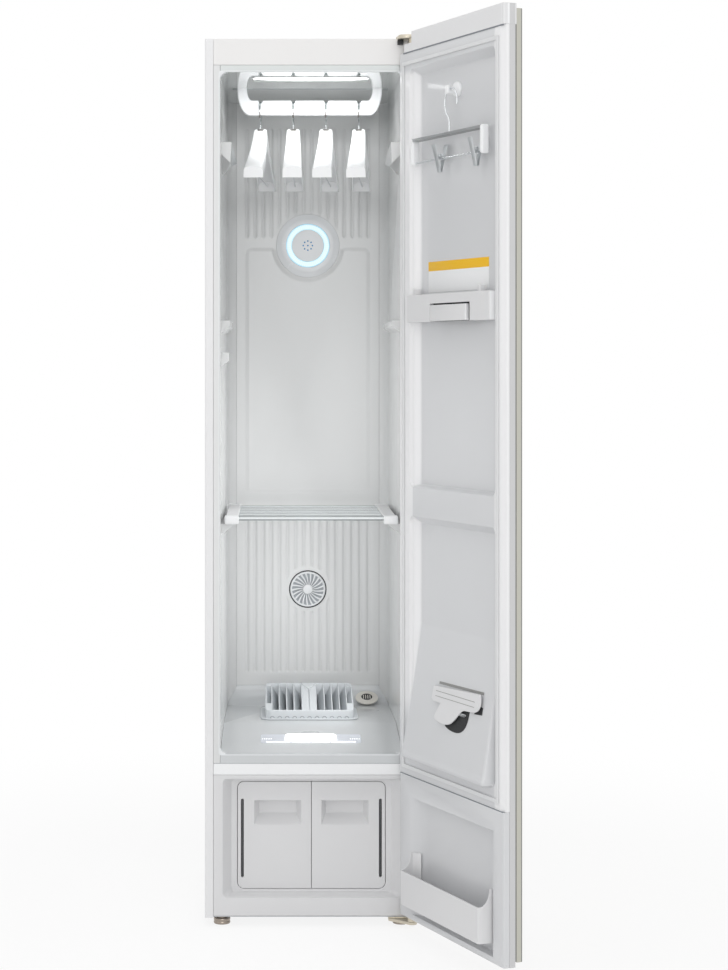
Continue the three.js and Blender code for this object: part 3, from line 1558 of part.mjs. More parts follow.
function makeDoorLiner() {
  const tubBack = neckBack + seam;
  const tubFloor = tubBack + tubWall;
  const recesses = [[upperTubBottom, upperTubTop], [lowerTubBottom, lowerTubTop]];
  const shells = recesses.map(([low, high]) => tub(low, high, tubWall, tubBack, linerBack + seam));
  const hollows = recesses.map(([low, high]) => tub(low, high, 0, tubFloor, doorInner + overrun));
  const lip = lowerTubBottom;
  const bulgeOutline = [
    [tubBack, bulgeTop],
    [tubFloor, bulgeTop],
    [bulgeReach - bulgeNose / 2, lip + bulgeNose * 2],
    [bulgeReach, lip + bulgeNose],
    [bulgeReach - bulgeNose / 2, lip],
    [tubBack, lip],
  ];
  const hollowOutline = [
    [tubBack - overrun, bulgeTop - bulgeNose * bulgeSkinShare],
    [bulgeReach - bulgeNose * 2, lip + bulgeNose * 2],
    [bulgeReach - bulgeNose * 2, lip + tubWall],
    [tubBack - overrun, lip + tubWall],
  ];
  const bulgeLeft = tubLeft + bulgeMargin;
  const bulgeRight = tubRight - bulgeMargin;
  const bulge = extrude('x', bulgeOutline, -bulgeRight, -bulgeLeft);
  const bulgeHollow = extrude('x', hollowOutline, tubWall - bulgeRight, -bulgeLeft - tubWall);
  const ears = hemEars();
  const slab = join(linerSlab(linerUpperBottom, linerTop), ...shells);
  const liner = cut(join(cut(slab, ...hollows), bulge, ...ears.bodies), bulgeHollow, ears.bore);
  addPart('door_liner_upper', liner, palette.doorLiner, door);

  const right = [pocketTubRight, pocketTubRight - pocketTubRightSlope];
  const leftSide = [pocketTubLeft, pocketTubLeft + pocketTubLeftSlope];
  const pocketPlan = (margin, floor, mouth) => [
    [leftSide[0] - margin, mouth], [leftSide[1] - margin, floor],
    [right[1] + margin, floor], [right[0] + margin, mouth],
  ];
  const pocketShell = doorPlan(pocketPlan(tubWall, tubBack, linerBack + seam), pocketTubBottom - tubWall,
    pocketTubTop + tubWall);
  const pocketCut = doorPlan(pocketPlan(0, tubFloor, doorInner + seam), pocketTubBottom, pocketTubTop);
  const lower = cut(join(linerSlab(doorBottom, linerSplit), pocketShell), pocketCut);
  addPart('door_liner_lower', lower, palette.greyPlastic, door);

  const gasketBack = doorInner + seam;
  const outerLeft = hingeX - frontHalf + seam;
  const outerRight = hingeX + frontHalf - seam;
  const innerBottom = sillBottom + gasketWidth;
  const outer = doorElevation([[outerLeft, sillBottom + seam], [outerRight, sillBottom + seam],
    [outerRight, headTop - seam], [outerLeft, headTop - seam]], gasketBack, gasketBack + gasketThickness);
  const inner = doorBox(outerLeft + gasketWidth, outerRight - gasketWidth, gasketBack - overrun,
    gasketBack + gasketThickness + overrun, innerBottom, headTop - gasketWidth);
  addPart('door_gasket', cut(outer, inner), palette.gasket, door);
}

// The bin's plan follows the sloping side walls of its pocket.
function binPlan(margin) {
  const left = pocketTubLeft + binInset + margin;
  const right = pocketTubRight - binInset * 2 - margin;
  const back = neckBack + tubWall + 2 * seam + margin;
  const reach = binReach - margin;
  const rise = pocketTubLeftSlope / (doorInner - neckBack - tubWall);
  return [
    [left, doorInner],
    [left, reach - binCorner],
    [left + binCorner / 2, reach],
    [right - binCorner / 2, reach],
    [right, reach - binCorner],
    [right, doorInner],
    [right - binInset, back],
    [left + (doorInner - back) * rise, back],
  ];
}

function makeBin() {
  const sideTop = binBottom + binSideHeight;
  const frontTop = binBottom + binFrontHeight;
  const block = doorPlan(binPlan(0), binBottom, sideTop);
  const space = doorPlan(binPlan(binWall), binBottom + binWall, sideTop + overrun);
  const sweep = sideTop - frontTop;
  const run = binReach - binCutStart - binWall;
  const curve = arc(binCutStart + run, sideTop, run, sweep, 180, 270, 5);
  const trim = extrude('x', [
    ...curve,
    [binReach + overrun, frontTop],
    [binReach + overrun, sideTop + overrun],
    [binCutStart, sideTop + overrun],
  ], -doorLength, 0);
  const backTrim = doorBox(0, doorLength, neckBack, doorInner / 2, binBottom + binFrontHeight / 2,
    sideTop + overrun);
  const backMiddle = doorPlan(binPlan(binWall).map(([u, v]) => [u, v - binWall * 2]), binBottom, sideTop);
  addPart('door_bin', cut(block, space, trim, backTrim.intersect(backMiddle)), palette.whitePlastic, door);
}

function makeGarmentHook() {
  const back = neckBack + tubWall + 2 * seam;
  const plateFront = back + hookPlateThickness;
  const plate = doorBox(hookPegU - hookPlateHalf, hookPegU + hookPlateHalf, back, plateFront,
    hookPegZ - hookPlateBottom, hookPegZ + hookPlateTop);
  const peg = rod('y', -hookPegU, hookPegZ, back, plateFront + hookPegLength, hookPegRadius, 16);
  const lipTop = hookPegZ + hookPegRadius + hookLip;
  const lipFront = plateFront + hookPegLength;
  const lip = doorBox(hookPegU - hookPegRadius, hookPegU + hookPegRadius, lipFront - hookLip, lipFront,
    hookPegZ, lipTop);
  addPart('garment_hook', join(plate, peg, lip), palette.whitePlastic, door);
}

function makePresser() {
  const back = neckBack + tubWall + 2 * seam;
  const top = presserBottom + presserHeight;
  const bar = doorBox(presserLeft, presserRight, presserBack, presserFront, presserBottom, top);
  const brackets = [presserLeft, presserRight - leverSlot].map((u) => (
    doorBox(u, u + leverSlot, back, presserBack + seam, presserBottom, top)));
  const lugs = [presserLeft, presserRight - leverSlot].map((u) => (
    doorBox(u, u + leverSlot, presserBack, presserFront - leverThickness, top - seam, top + leverSlot)));
  const pocket = doorBox(leverLeft - seam, leverRight + leverSlot, presserFront - leverThickness - seam,
    presserFront + overrun, leverBottom - seam, leverTop + seam);
  const pinV = presserFront - leverThickness / 2;
  const pinU = leverLeft + leverThickness / 2;
  const pin = rod('z', -pinU, pinV, leverBottom - 2 * seam, leverTop + 2 * seam, leverPinRadius, 12);
  addPart('presser_bar', join(cut(join(bar, ...brackets, ...lugs), pocket), pin), palette.doorLiner, door);

  const r = leverThickness / 2;
  const plan = [
    ...arc(pinU, pinV, r - seam, r - seam, 90, 270, 4),
    [leverRight, presserFront - leverThickness + seam],
    [leverRight, presserFront],
  ];
  const bore = rod('z', -pinU, pinV, leverBottom - overrun, leverTop + overrun, leverPinRadius + seam, 12);
  addPart('presser_lever', cut(doorPlan(plan, leverBottom + seam, leverTop - seam), bore),
    palette.doorLiner, door);
}

// Height of the bulge's face above the pin plane at a height on the door.
function bulgeFace(z) {
  const start = neckBack + seam + tubWall;
  const low = lowerTubBottom + bulgeNose * 2;
  return start + ((bulgeReach - bulgeNose / 2 - start) * (bulgeTop - z)) / (bulgeTop - low);
}

function hemPivotV() {
  return bulgeFace(hemPivotZ) + hemKnuckle + hemGap;
}

function hemEars() {
  const pivotV = hemPivotV();
  const start = bulgeFace(hemPivotZ) - tubWall;
  const bodies = [hemLeft, hemRight - hemEarWidth].map((u) => doorBox(u, u + hemEarWidth, start,
    pivotV + hemKnuckle, hemPivotZ - hemKnuckle, hemPivotZ + hemKnuckle));
  const bore = rod('x', pivotV, hemPivotZ, -hemRight - overrun, -hemLeft + overrun, hemPinRadius + seam, 12);
  return { bodies, bore };
}

function makeHemClamp() {
  const pivotV = hemPivotV();
  const left = hemLeft + hemEarWidth + seam;
  const right = hemRight - hemEarWidth - seam;
  const knuckle = rod('x', pivotV, hemPivotZ, -right, -left, hemKnuckle, 12);
  const pin = rod('x', pivotV, hemPivotZ, -hemRight, -hemLeft, hemPinRadius, 12);
  const low = hemPivotZ - hemHeight;
  const face = (z) => bulgeFace(z) + hemGap;
  const section = [
    [pivotV - hemKnuckle / 2, hemPivotZ],
    [face(low), low],
    [face(low) + hemThickness, low],
    [pivotV + hemKnuckle, hemPivotZ],
  ];
  const flap = extrude('x', section, -right, -left);
  const middle = (hemLeft + hemRight) / 2;
  const tongueLow = low - hemTongueHeight;
  const tongueSection = [
    [face(low), low + overrun],
    [face(tongueLow), tongueLow],
    [face(tongueLow) + hemThickness, tongueLow],
    [face(low) + hemThickness, low + overrun],
  ];
  const tongue = extrude('x', tongueSection, -middle - hemTongueWidth / 2, hemTongueWidth / 2 - middle);
  addPart('hem_clamp', join(knuckle, pin, flap, tongue), palette.doorLiner, door);
}

// Trouser hanger on the door hook

function makeTrouserHanger() {
  const v = trouserPlaneV;
  const u = hookPegU;
  const ringRadius = hookPegRadius + seam + trouserHookWire;
  const shift = trouserHookRadius - ringRadius;
  const centreZ = hookPegZ - shift;
  const ring = arc(u, centreZ, trouserHookRadius, trouserHookRadius, 200, -60, 8).map(([a, z]) => [-a, v, z]);
  const neck = centreZ - trouserHookRadius * hookNeckShare;
  const path = [...ring, [-u, v, neck], [-u, v, (neck + trouserTopZ) / 2], [-u, v, trouserTopZ]];
  const hook = wire(path, trouserHookWire, 28, 6);
  const [left, right] = [trouserLeft + trouserCapWidth / 2, trouserRight - trouserCapWidth / 2];
  const top = rod('x', v, trouserTopZ, -right, -left, trouserWire, 10);
  const low = rod('x', v, trouserLowZ, -right, -left, trouserWire, 10);
  const caps = [trouserLeft, trouserRight - trouserCapWidth].map((edge) => (
    doorBox(edge, edge + trouserCapWidth, v - trouserCapWidth / 2, v + trouserCapWidth / 2,
      trouserLowZ - trouserCapMargin, trouserTopZ + trouserCapMargin)));
  addPart('trouser_hanger', join(hook, top, low, ...caps), palette.chrome, door);

  clipPlaces.forEach((place, i) => makeClip(['left', 'right'][i], place - clipHalf, place + clipHalf));
}

// A spring clip on the lower wire: the rear half hangs on the wire and carries the jaw's pin.
function makeClip(side, from, to) {
  const v = trouserPlaneV;
  const hubHalf = trouserWire + clipBridge / 2;
  const pivotZ = trouserLowZ + clipPivotRise;
  const [top, neck, low] = [trouserLowZ + clipUp, trouserLowZ - clipNeckDrop, trouserLowZ - clipDown];
  const grip = clipGrip / 2;
  const rearFace = v - hubHalf;
  const rearSection = [
    [rearFace - clipThickness, top],
    [rearFace, top],
    [rearFace, neck],
    [v - grip, low],
    [v - grip - clipThickness, low],
    [rearFace - clipThickness, neck],
  ];
  const rear = extrude('x', rearSection, -to, -from);
  const hub = doorBox(from, to, rearFace - seam, v + hubHalf, trouserLowZ - hubHalf, trouserLowZ + hubHalf);
  const bore = rod('x', v, trouserLowZ, -to - overrun, overrun - from, trouserWire + clipBore, 12);
  const jawBack = v + hubHalf + clipJawGap;
  const pinV = jawBack + clipThickness / 2;
  const earTop = pivotZ + clipPinRadius + clipEar / 2;
  const [earBack, earFront] = [v + trouserWire + clipEar, pinV + clipPinRadius + clipEar / 2];
  const ears = [from + clipEar, to - 2 * clipEar].map((u) => (
    doorBox(u, u + clipEar, earBack, earFront, trouserLowZ, earTop)));
  const pin = rod('x', pinV, pivotZ, clipEar - to, -from - clipEar, clipPinRadius, 8);
  addPart(`trouser_clip_${side}`, join(cut(join(rear, hub), bore), ...ears, pin), palette.chrome, door);

  const jawSection = [
    [jawBack, top],
    [jawBack + clipThickness, top],
    [jawBack + clipThickness, neck],
    [v + grip + clipThickness, low],
    [v + grip, low],
    [jawBack, neck],
  ];
  const reach = clipPinRadius + clipEar;
  const plate = extrude('x', jawSection, -to, -from);
  const knuckle = rod('x', pinV, pivotZ, 2 * clipEar + seam - to, -from - 2 * clipEar - seam, reach, 12);
  const slots = [from + clipEar, to - 2 * clipEar].map((u) => doorBox(u - seam, u + clipEar + seam,
    jawBack - overrun, pinV + reach + overrun, trouserLowZ - clipEar, earTop + clipEar));
  const [boreFrom, boreTo] = [2 * clipEar - to, -from - 2 * clipEar];
  const pinBore = rod('x', pinV, pivotZ, boreFrom, boreTo, clipPinRadius + seam, 8);
  addPart(`trouser_clip_jaw_${side}`, cut(join(plate, knuckle), ...slots, pinBore), palette.chrome, door);
}

function makeDoor() {
  makeDoorShell();
  makeDoorLiner();
  makeBin();
  makeGarmentHook();
  makePresser();
  makeHemClamp();
  makeTrouserHanger();
}

makeShell();
makeBase();
makeFeet();
makeCavity();
makeFilter();
makeShelf();
makeBar();
makeHangers();
makeLowerFrame();
makeTank('supply_tank', -1);
makeTank('drain_tank', 1);
makeMachines();
makeBottomHinge();
makeTopHinge();
makeDoor();

cabinet.updateMatrixWorld(true);
const extent = new THREE.Box3().setFromObject(cabinet, true);
const middle = extent.getCenter(new THREE.Vector3());
cabinet.position.set(-middle.x, -middle.y, -extent.min.z);

export default cabinet;
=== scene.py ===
"""Clothes care steam cabinet with its door open: the looks of the packed model.

Sizes are millimetres in the cabinet's own axes: X = 0 is the middle of the body, Y = 0 its front
face and Z = 0 the floor. The door has axes of its own: u runs from the hinge pins to the free edge,
v from the outer face towards the cabinet when the door is shut, and z is the height.
"""

from __future__ import annotations

import json
import logging
import math
from dataclasses import dataclass
from enum import Enum
from typing import Any, Callable, ClassVar, Mapping, Sequence

import bmesh
import bpy
import numpy as np
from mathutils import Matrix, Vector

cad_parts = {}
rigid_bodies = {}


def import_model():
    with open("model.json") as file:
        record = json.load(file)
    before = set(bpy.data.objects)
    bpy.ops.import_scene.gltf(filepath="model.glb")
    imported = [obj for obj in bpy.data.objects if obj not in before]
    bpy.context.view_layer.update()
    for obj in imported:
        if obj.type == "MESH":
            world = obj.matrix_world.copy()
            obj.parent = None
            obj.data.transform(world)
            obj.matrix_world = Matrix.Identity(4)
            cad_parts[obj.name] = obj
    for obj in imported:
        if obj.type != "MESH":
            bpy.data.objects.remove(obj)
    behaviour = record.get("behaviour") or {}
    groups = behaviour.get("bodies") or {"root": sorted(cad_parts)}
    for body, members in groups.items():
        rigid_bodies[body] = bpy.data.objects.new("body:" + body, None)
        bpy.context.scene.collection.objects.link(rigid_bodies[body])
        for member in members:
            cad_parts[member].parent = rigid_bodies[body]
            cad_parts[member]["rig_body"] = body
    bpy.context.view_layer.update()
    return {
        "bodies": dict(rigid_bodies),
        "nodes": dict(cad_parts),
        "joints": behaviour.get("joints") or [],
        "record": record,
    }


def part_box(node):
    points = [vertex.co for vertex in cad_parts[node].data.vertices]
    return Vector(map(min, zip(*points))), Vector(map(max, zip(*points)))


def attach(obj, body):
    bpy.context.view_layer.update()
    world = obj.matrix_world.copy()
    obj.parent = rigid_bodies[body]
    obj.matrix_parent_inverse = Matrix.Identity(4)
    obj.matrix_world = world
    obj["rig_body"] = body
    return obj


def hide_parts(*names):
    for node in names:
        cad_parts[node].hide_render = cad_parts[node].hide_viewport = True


Array = np.ndarray
log = logging.getLogger("cabinet")

IMAGE_WIDTH = 728
IMAGE_HEIGHT = 970
METRE = 0.001

# Millimetres: the radius where a turned shape's end lid begins, and how far a skin stands out.
POLE = 0.2
PROUD = 0.04

# Points nearer than this many metres become one, and so do faces whose angle is smaller.
WELD = 0.00001
FLAT = math.radians(0.4)

ACROSS, BACK, UP = (1, 0, 0), (0, 1, 0), (0, 0, 1)


class Slot(Enum):
    """The material slots of the record."""

    WHITE_PAINT = "white_paint"
    WARM_WHITE = "warm_white"
    LINER = "cavity_liner"
    GREY_PLASTIC = "grey_plastic"
    WHITE_PLASTIC = "white_plastic"
    DOOR_LINER = "door_liner"
    LAMP_LENS = "lamp_lens"
    RING_LENS = "ring_lens"
    TRIM = "trim"
    BRACKET = "bracket"
    CHROME = "chrome"
    MACHINE = "machine"
    DARK_STEEL = "dark_steel"
    GASKET = "gasket"
    GALVANISED = "galvanised"
    TANK = "tank"


# Surfaces


@dataclass(frozen=True)
class Surface:
    """Points in millimetres, and faces of four point numbers, or of three and a -1."""

    points: Array
    faces: Array
    lids: tuple[Array, ...] = ()

    def placed(self, place: Callable[[Array], Array]) -> Surface:
        """Carries every point through a function that maps an array of points to another."""
        return Surface(place(self.points), self.faces, self.lids)

    def volume(self) -> float:
        """Sums the signed volumes of the pyramids from the origin to each face's triangles."""
        centred = self.points - self.points.mean(axis=0)
        a, b, c = (centred[self.faces[:, i]] for i in range(3))
        total = float(np.einsum("ij,ij->", a, np.cross(b, c)))
        square = self.faces[:, 3] >= 0
        a, c, d = (centred[self.faces[square, i]] for i in (0, 2, 3))
        total += float(np.einsum("ij,ij->", a, np.cross(c, d)))
        for lid in self.lids:
            ring = centred[lid]
            total += float(np.einsum("j,ij->", ring[0], np.cross(ring[1:-1], ring[2:])))
        return total / 6

    def outward(self) -> Surface:
        """Turns the faces round where the closed surface would hold a negative volume."""
        if self.volume() >= 0:
            return self
        turned = self.faces[:, ::-1].copy()
        three = self.faces[:, 3] < 0
        turned[three] = self.faces[three][:, [2, 1, 0, 3]]
        return Surface(self.points, turned, tuple(lid[::-1] for lid in self.lids))

    @staticmethod
    def joined(parts: Sequence[Surface]) -> Surface:
        """Puts several closed surfaces into one, each with its faces outwards."""
        points, faces, lids, start = [], [], [], 0
        for part in (each.outward() for each in parts):
            points.append(part.points)
            faces.append(np.where(part.faces >= 0, part.faces + start, -1))
            lids.extend(lid + start for lid in part.lids)
            start += len(part.points)
        return Surface(np.vstack(points), np.vstack(faces), tuple(lids))


def tube(rings: Array, closed: bool = False) -> Surface:
    """Joins rings of points into a tube: point (i, j) meets (i + 1, j) and (i, j + 1).

    Args:
        rings: Points in the shape (rings, points of a ring, 3).
        closed: Whether the last ring meets the first; otherwise flat lids close both ends.

    Returns:
        The closed surface.
    """
    count, size = rings.shape[:2]
    last = count if closed else count - 1
    i, j = np.meshgrid(np.arange(last), np.arange(size), indexing="ij")
    after, beside = (i + 1) % count, (j + 1) % size
    faces = np.stack([i * size + j, after * size + j, after * size + beside, i * size + beside], axis=-1)
    lids = () if closed else (np.arange(size)[::-1].copy(), np.arange(size) + (count - 1) * size)
    return Surface(rings.reshape(-1, 3), faces.reshape(-1, 4), lids)


def sheet(front: Array, back: Array, kept: Array | None = None) -> Surface:
    """Closes two grids of points into a plate, with walls along every edge of the kept cells.

    Args:
        front: Points in the shape (rows, columns, 3).
        back: Points of the same shape on the other side.
        kept: Which cells hold material, in the shape (rows - 1, columns - 1); all of them if None.

    Returns:
        The closed surface.
    """
    rows, columns = front.shape[:2]
    kept = np.ones((rows - 1, columns - 1), bool) if kept is None else kept
    number = np.arange(rows * columns).reshape(rows, columns)
    cell = np.stack([number[:-1, :-1], number[1:, :-1], number[1:, 1:], number[:-1, 1:]], axis=-1)[kept]
    other = rows * columns
    edges = np.concatenate([cell[:, [k, (k + 1) % 4]] for k in range(4)])
    code = edges.min(axis=1) * other + edges.max(axis=1)
    _, first, times = np.unique(code, return_index=True, return_counts=True)
    rim = edges[first[times == 1]]
    walls = np.stack([rim[:, 1], rim[:, 0], rim[:, 0] + other, rim[:, 1] + other], axis=-1)
    faces = np.concatenate([cell, cell[:, ::-1] + other, walls])
    used, compact = np.unique(faces, return_inverse=True)
    points = np.concatenate([front.reshape(-1, 3), back.reshape(-1, 3)])[used]
    return Surface(points, compact.reshape(faces.shape))


def circle(radius: float, count: int) -> Array:
    """Points at even angles round a circle."""
    angle = np.linspace(0, 2 * np.pi, count, endpoint=False)
    return np.stack([np.cos(angle), np.sin(angle)], axis=-1) * radius


def rounded(half_a: float, half_b: float, corner: float, count: int = 6) -> Array:
    """A rectangle's outline with round corners: each corner's centre plus its quarter circle."""
    angle = np.linspace(0, np.pi / 2, count)
    quarter = np.stack([np.cos(angle), np.sin(angle)], axis=-1) * corner
    parts = []
    for k, (a, b) in enumerate([(1, 1), (-1, 1), (-1, -1), (1, -1)]):
        turn = k * np.pi / 2
        spin = np.array([[math.cos(turn), -math.sin(turn)], [math.sin(turn), math.cos(turn)]])
        parts.append(quarter @ spin.T + np.array([a * (half_a - corner), b * (half_b - corner)]))
    return np.concatenate(parts)


def eased(points: Sequence[Sequence[float]], rounds: int = 3) -> Array:
    """Rounds a path: each pass replaces a corner by points at 1/4 and 3/4 of its two sides."""
    path = np.asarray(points, float)
    for _ in range(rounds):
        near = path[:-1] * 0.75 + path[1:] * 0.25
        far = path[:-1] * 0.25 + path[1:] * 0.75
        middle = np.stack([near, far], axis=1).reshape(-1, path.shape[1])
        path = np.concatenate([path[:1], middle[1:-1], path[-1:]])
    return path


def swept(path: Array, profile: Array, side: Sequence[float], closed: bool = False) -> Surface:
    """Carries a flat profile along a path.

    A ring is the path's point, plus the profile's first number along the side direction made square
    to the path, plus its second number along the cross product of the path's direction and that.

    Args:
        path: Points in the shape (n, 3).
        profile: Points in the shape (m, 2), or (n, m, 2) where it changes along the path.
        side: The direction that the profile's first number follows.
        closed: Whether the path ends where it starts.

    Returns:
        The closed surface.
    """
    if closed:
        along = np.roll(path, -1, axis=0) - np.roll(path, 1, axis=0)
    else:
        along = np.gradient(path, axis=0)
    along = along / np.linalg.norm(along, axis=1, keepdims=True)
    first = np.asarray(side, float)[None] - along * (along @ np.asarray(side, float))[:, None]
    first = first / np.linalg.norm(first, axis=1, keepdims=True)
    second = np.cross(along, first)
    flat = np.broadcast_to(profile, (len(path),) + profile.shape[-2:])
    rings = path[:, None] + flat[..., :1] * first[:, None] + flat[..., 1:] * second[:, None]
    return tube(rings, closed)


def turned(profile: Sequence[Sequence[float]], centre: Sequence[float], axis: Sequence[float],
           count: int = 64) -> Surface:
    """Turns a profile about an axis: radius times the circle, plus height along the axis.

    Args:
        profile: Pairs of radius and height along the axis, from one pole or rim to the other.
        centre: The point of the axis where the height is 0.
        axis: The axis' direction.
        count: Points of a ring.

    Returns:
        The closed surface, with flat lids at its two ends.
    """
    way = np.asarray(axis, float) / np.linalg.norm(axis)
    helper = np.array([1.0, 0, 0]) if abs(way[0]) < 0.9 else np.array([0, 1.0, 0])
    first = np.cross(way, helper)
    first /= np.linalg.norm(first)
    second = np.cross(way, first)
    ring = circle(1, count)
    shape = np.asarray(profile, float)
    round_part = ring[None, :, :1] * first + ring[None, :, 1:] * second
    rings = np.asarray(centre, float) + shape[:, None, :1] * round_part + shape[:, None, 1:] * way
    return tube(rings)


def drum(radius: float, low: float, high: float, centre: Sequence[float], axis: Sequence[float],
         count: int) -> Surface:
    """A plain cylinder between two heights along an axis."""
    return turned([(POLE, low), (radius, low), (radius, high), (POLE, high)], centre, axis, count)


def hoop(profile: Sequence[Sequence[float]], centre: Sequence[float], count: int) -> Surface:
    """Closes a profile of radius and depth into a ring whose axis runs from front to back."""
    shape, ring = np.asarray(profile, float), circle(1, count)
    x = centre[0] + shape[None, :, 0] * ring[:, :1]
    z = centre[2] + shape[None, :, 0] * ring[:, 1:]
    return tube(np.stack([x, np.broadcast_to(centre[1] + shape[:, 1], x.shape), z], axis=-1), closed=True)


def rod(start: Sequence[float], stop: Sequence[float], profile: Array, side: Sequence[float]) -> Surface:
    """Carries a profile straight from one point to another."""
    ends = np.asarray([start, stop], float)
    return swept(np.stack([ends[0], ends.mean(axis=0), ends[1]]), profile, side)


def lifted(axis: int, rise: Callable[[Array], Array]) -> Callable[[Array], Array]:
    """Gives the function that moves points along one axis by what rise says for each."""
    def place(points: Array) -> Array:
        moved = points.copy()
        moved[:, axis] += rise(points)
        return moved
    return place


def paired(side: int, *sizes: float) -> list[float]:
    """Sizes to one side of the middle, -1 or 1, in rising order."""
    return sorted(side * size for size in sizes)


def block(low: Sequence[float], high: Sequence[float], radius: float, count: int = 3) -> Surface:
    """A box with every edge round: rounded outlines drawn in towards its two ends.

    The outline at height h lies in from the full one by r - sqrt(r squared - (r - h) squared).

    Args:
        low: Its lowest corner.
        high: Its highest corner.
        radius: Radius of the edges.
        count: Steps of an edge's quarter circle.

    Returns:
        The closed surface.
    """
    low, high = np.asarray(low, float), np.asarray(high, float)
    middle, half = (low + high) / 2, (high - low) / 2
    angle = np.linspace(0, np.pi / 2, count + 1)
    inset = radius * (1 - np.sin(angle))
    height = radius * (1 - np.cos(angle))
    levels = np.concatenate([-half[2] + height, half[2] - height[::-1]])
    insets = np.concatenate([inset, inset[::-1]])
    rings = []
    for level, margin in zip(levels, insets):
        outline = rounded(half[0] - margin, half[1] - margin, max(radius - margin, 0.02), count + 1)
        rings.append(np.column_stack([outline, np.full(len(outline), level)]))
    return tube(np.stack(rings) + middle)


def plate(outline: Array, low: float, high: float, radius: float, axes: Sequence[int] = (0, 1, 2)) -> Surface:
    """A flat outline raised between two levels, with round edges at both.

    Each level's outline lies in from the full one along the mean of its two sides' normals.

    Args:
        outline: Points in the shape (n, 2).
        low: The first level.
        high: The second level.
        radius: Radius of the edges.
        axes: Which coordinate the outline's first and second number and the level go to.

    Returns:
        The closed surface.
    """
    before, after = outline - np.roll(outline, 1, axis=0), np.roll(outline, -1, axis=0) - outline
    sides = [np.stack([way[:, 1], -way[:, 0]], axis=-1) / np.linalg.norm(way, axis=1, keepdims=True)
             for way in (before, after)]
    normal = sides[0] + sides[1]
    normal /= np.maximum(np.linalg.norm(normal, axis=1, keepdims=True), 0.3)
    x, y = outline[:, 0], outline[:, 1]
    if float(np.dot(x, np.roll(y, -1)) - np.dot(y, np.roll(x, -1))) < 0:
        normal = -normal
    angle = np.radians([0, 30, 60, 90])
    inset, rise = radius * (1 - np.sin(angle)), radius * (1 - np.cos(angle))
    levels = np.concatenate([low + rise, high - rise[::-1]])
    rings = np.empty((8, len(outline), 3))
    for k, (level, margin) in enumerate(zip(levels, np.concatenate([inset, inset[::-1]]))):
        flat = outline - normal * margin
        rings[k, :, axes[0]], rings[k, :, axes[1]], rings[k, :, axes[2]] = flat[:, 0], flat[:, 1], level
    return tube(rings)


def smooth(low: float, high: float, value: Array) -> Array:
    """Rises from 0 at low to 1 at high with level ends: 3 t squared - 2 t cubed."""
    share = np.clip((value - low) / (high - low), 0, 1)
    return share * share * (3 - 2 * share)


def inside(a: Array, b: Array, box: Sequence[float], corner: float) -> Array:
    """Distance into a rectangle with round corners, positive inside it.

    Args:
        a: First coordinates.
        b: Second coordinates.
        box: Its lowest and highest first coordinate, and its lowest and highest second one.
        corner: Radius of its corners.

    Returns:
        The distance to its outline at each point.
    """
    from_a = np.abs(a - (box[0] + box[1]) / 2) - (box[1] - box[0]) / 2 + corner
    from_b = np.abs(b - (box[2] + box[3]) / 2) - (box[3] - box[2]) / 2 + corner
    beyond = np.hypot(np.maximum(from_a, 0), np.maximum(from_b, 0))
    return corner - beyond - np.minimum(np.maximum(from_a, from_b), 0)


def graded(ends: tuple[float, float], coarse: float, zones: Sequence[tuple[float, float, float]]) -> Array:
    """Places along a line: even coarse steps, with finer ones inside the zones.

    Args:
        ends: The first and last place.
        coarse: The step outside the zones.
        zones: From, to and step of each finer stretch.

    Returns:
        The places in rising order.
    """
    places = [np.linspace(*ends, max(2, round((ends[1] - ends[0]) / coarse) + 1))]
    for start, stop, step in zones:
        places[0] = places[0][(places[0] < start) | (places[0] > stop)]
        places.append(np.linspace(start, stop, round((stop - start) / step) + 1))
    merged = np.unique(np.concatenate(places + [np.array(ends)]))
    return merged[np.concatenate([[True], np.diff(merged) > 0.3])]


# Shader nodes


class Flow:
    """A number that varies over a surface: an output socket that takes part in arithmetic."""

    def __init__(self, recipe: Recipe, socket: bpy.types.NodeSocket) -> None:
        """Wraps a socket of a recipe's tree."""
        self.recipe = recipe
        self.socket = socket

    def __add__(self, other: Flow | float) -> Flow:
        """Adds."""
        return self.recipe.maths("ADD", self, other)

    def __sub__(self, other: Flow | float) -> Flow:
        """Subtracts."""
        return self.recipe.maths("SUBTRACT", self, other)

    def __rsub__(self, other: float) -> Flow:
        """Subtracts the flow from a number."""
        return self.recipe.maths("SUBTRACT", other, self)

    def __mul__(self, other: Flow | float) -> Flow:
        """Multiplies."""
        return self.recipe.maths("MULTIPLY", self, other)

    def __truediv__(self, other: Flow | float) -> Flow:
        """Divides."""
        return self.recipe.maths("DIVIDE", self, other)

    def __pow__(self, other: float) -> Flow:
        """Raises to a power."""
        return self.recipe.maths("POWER", self, other)

    def __abs__(self) -> Flow:
        """Takes away the sign."""
        return self.recipe.maths("ABSOLUTE", self, 0.0)

    __radd__ = __add__
    __rmul__ = __mul__

    def between(self, low: float, high: float) -> Flow:
        """Rises smoothly from 0 at low to 1 at high."""
        settings = {"interpolation_type": "SMOOTHSTEP"}
        node = self.recipe.node("ShaderNodeMapRange", settings, {0: self, 1: low, 2: high, 3: 0.0, 4: 1.0})
        return Flow(self.recipe, node.outputs[0])

    def within(self, half: float, edge: float) -> Flow:
        """Is 1 where the size of the flow is under half, and falls to 0 over the edge."""
        return 1 - abs(self).between(half - edge, half + edge)


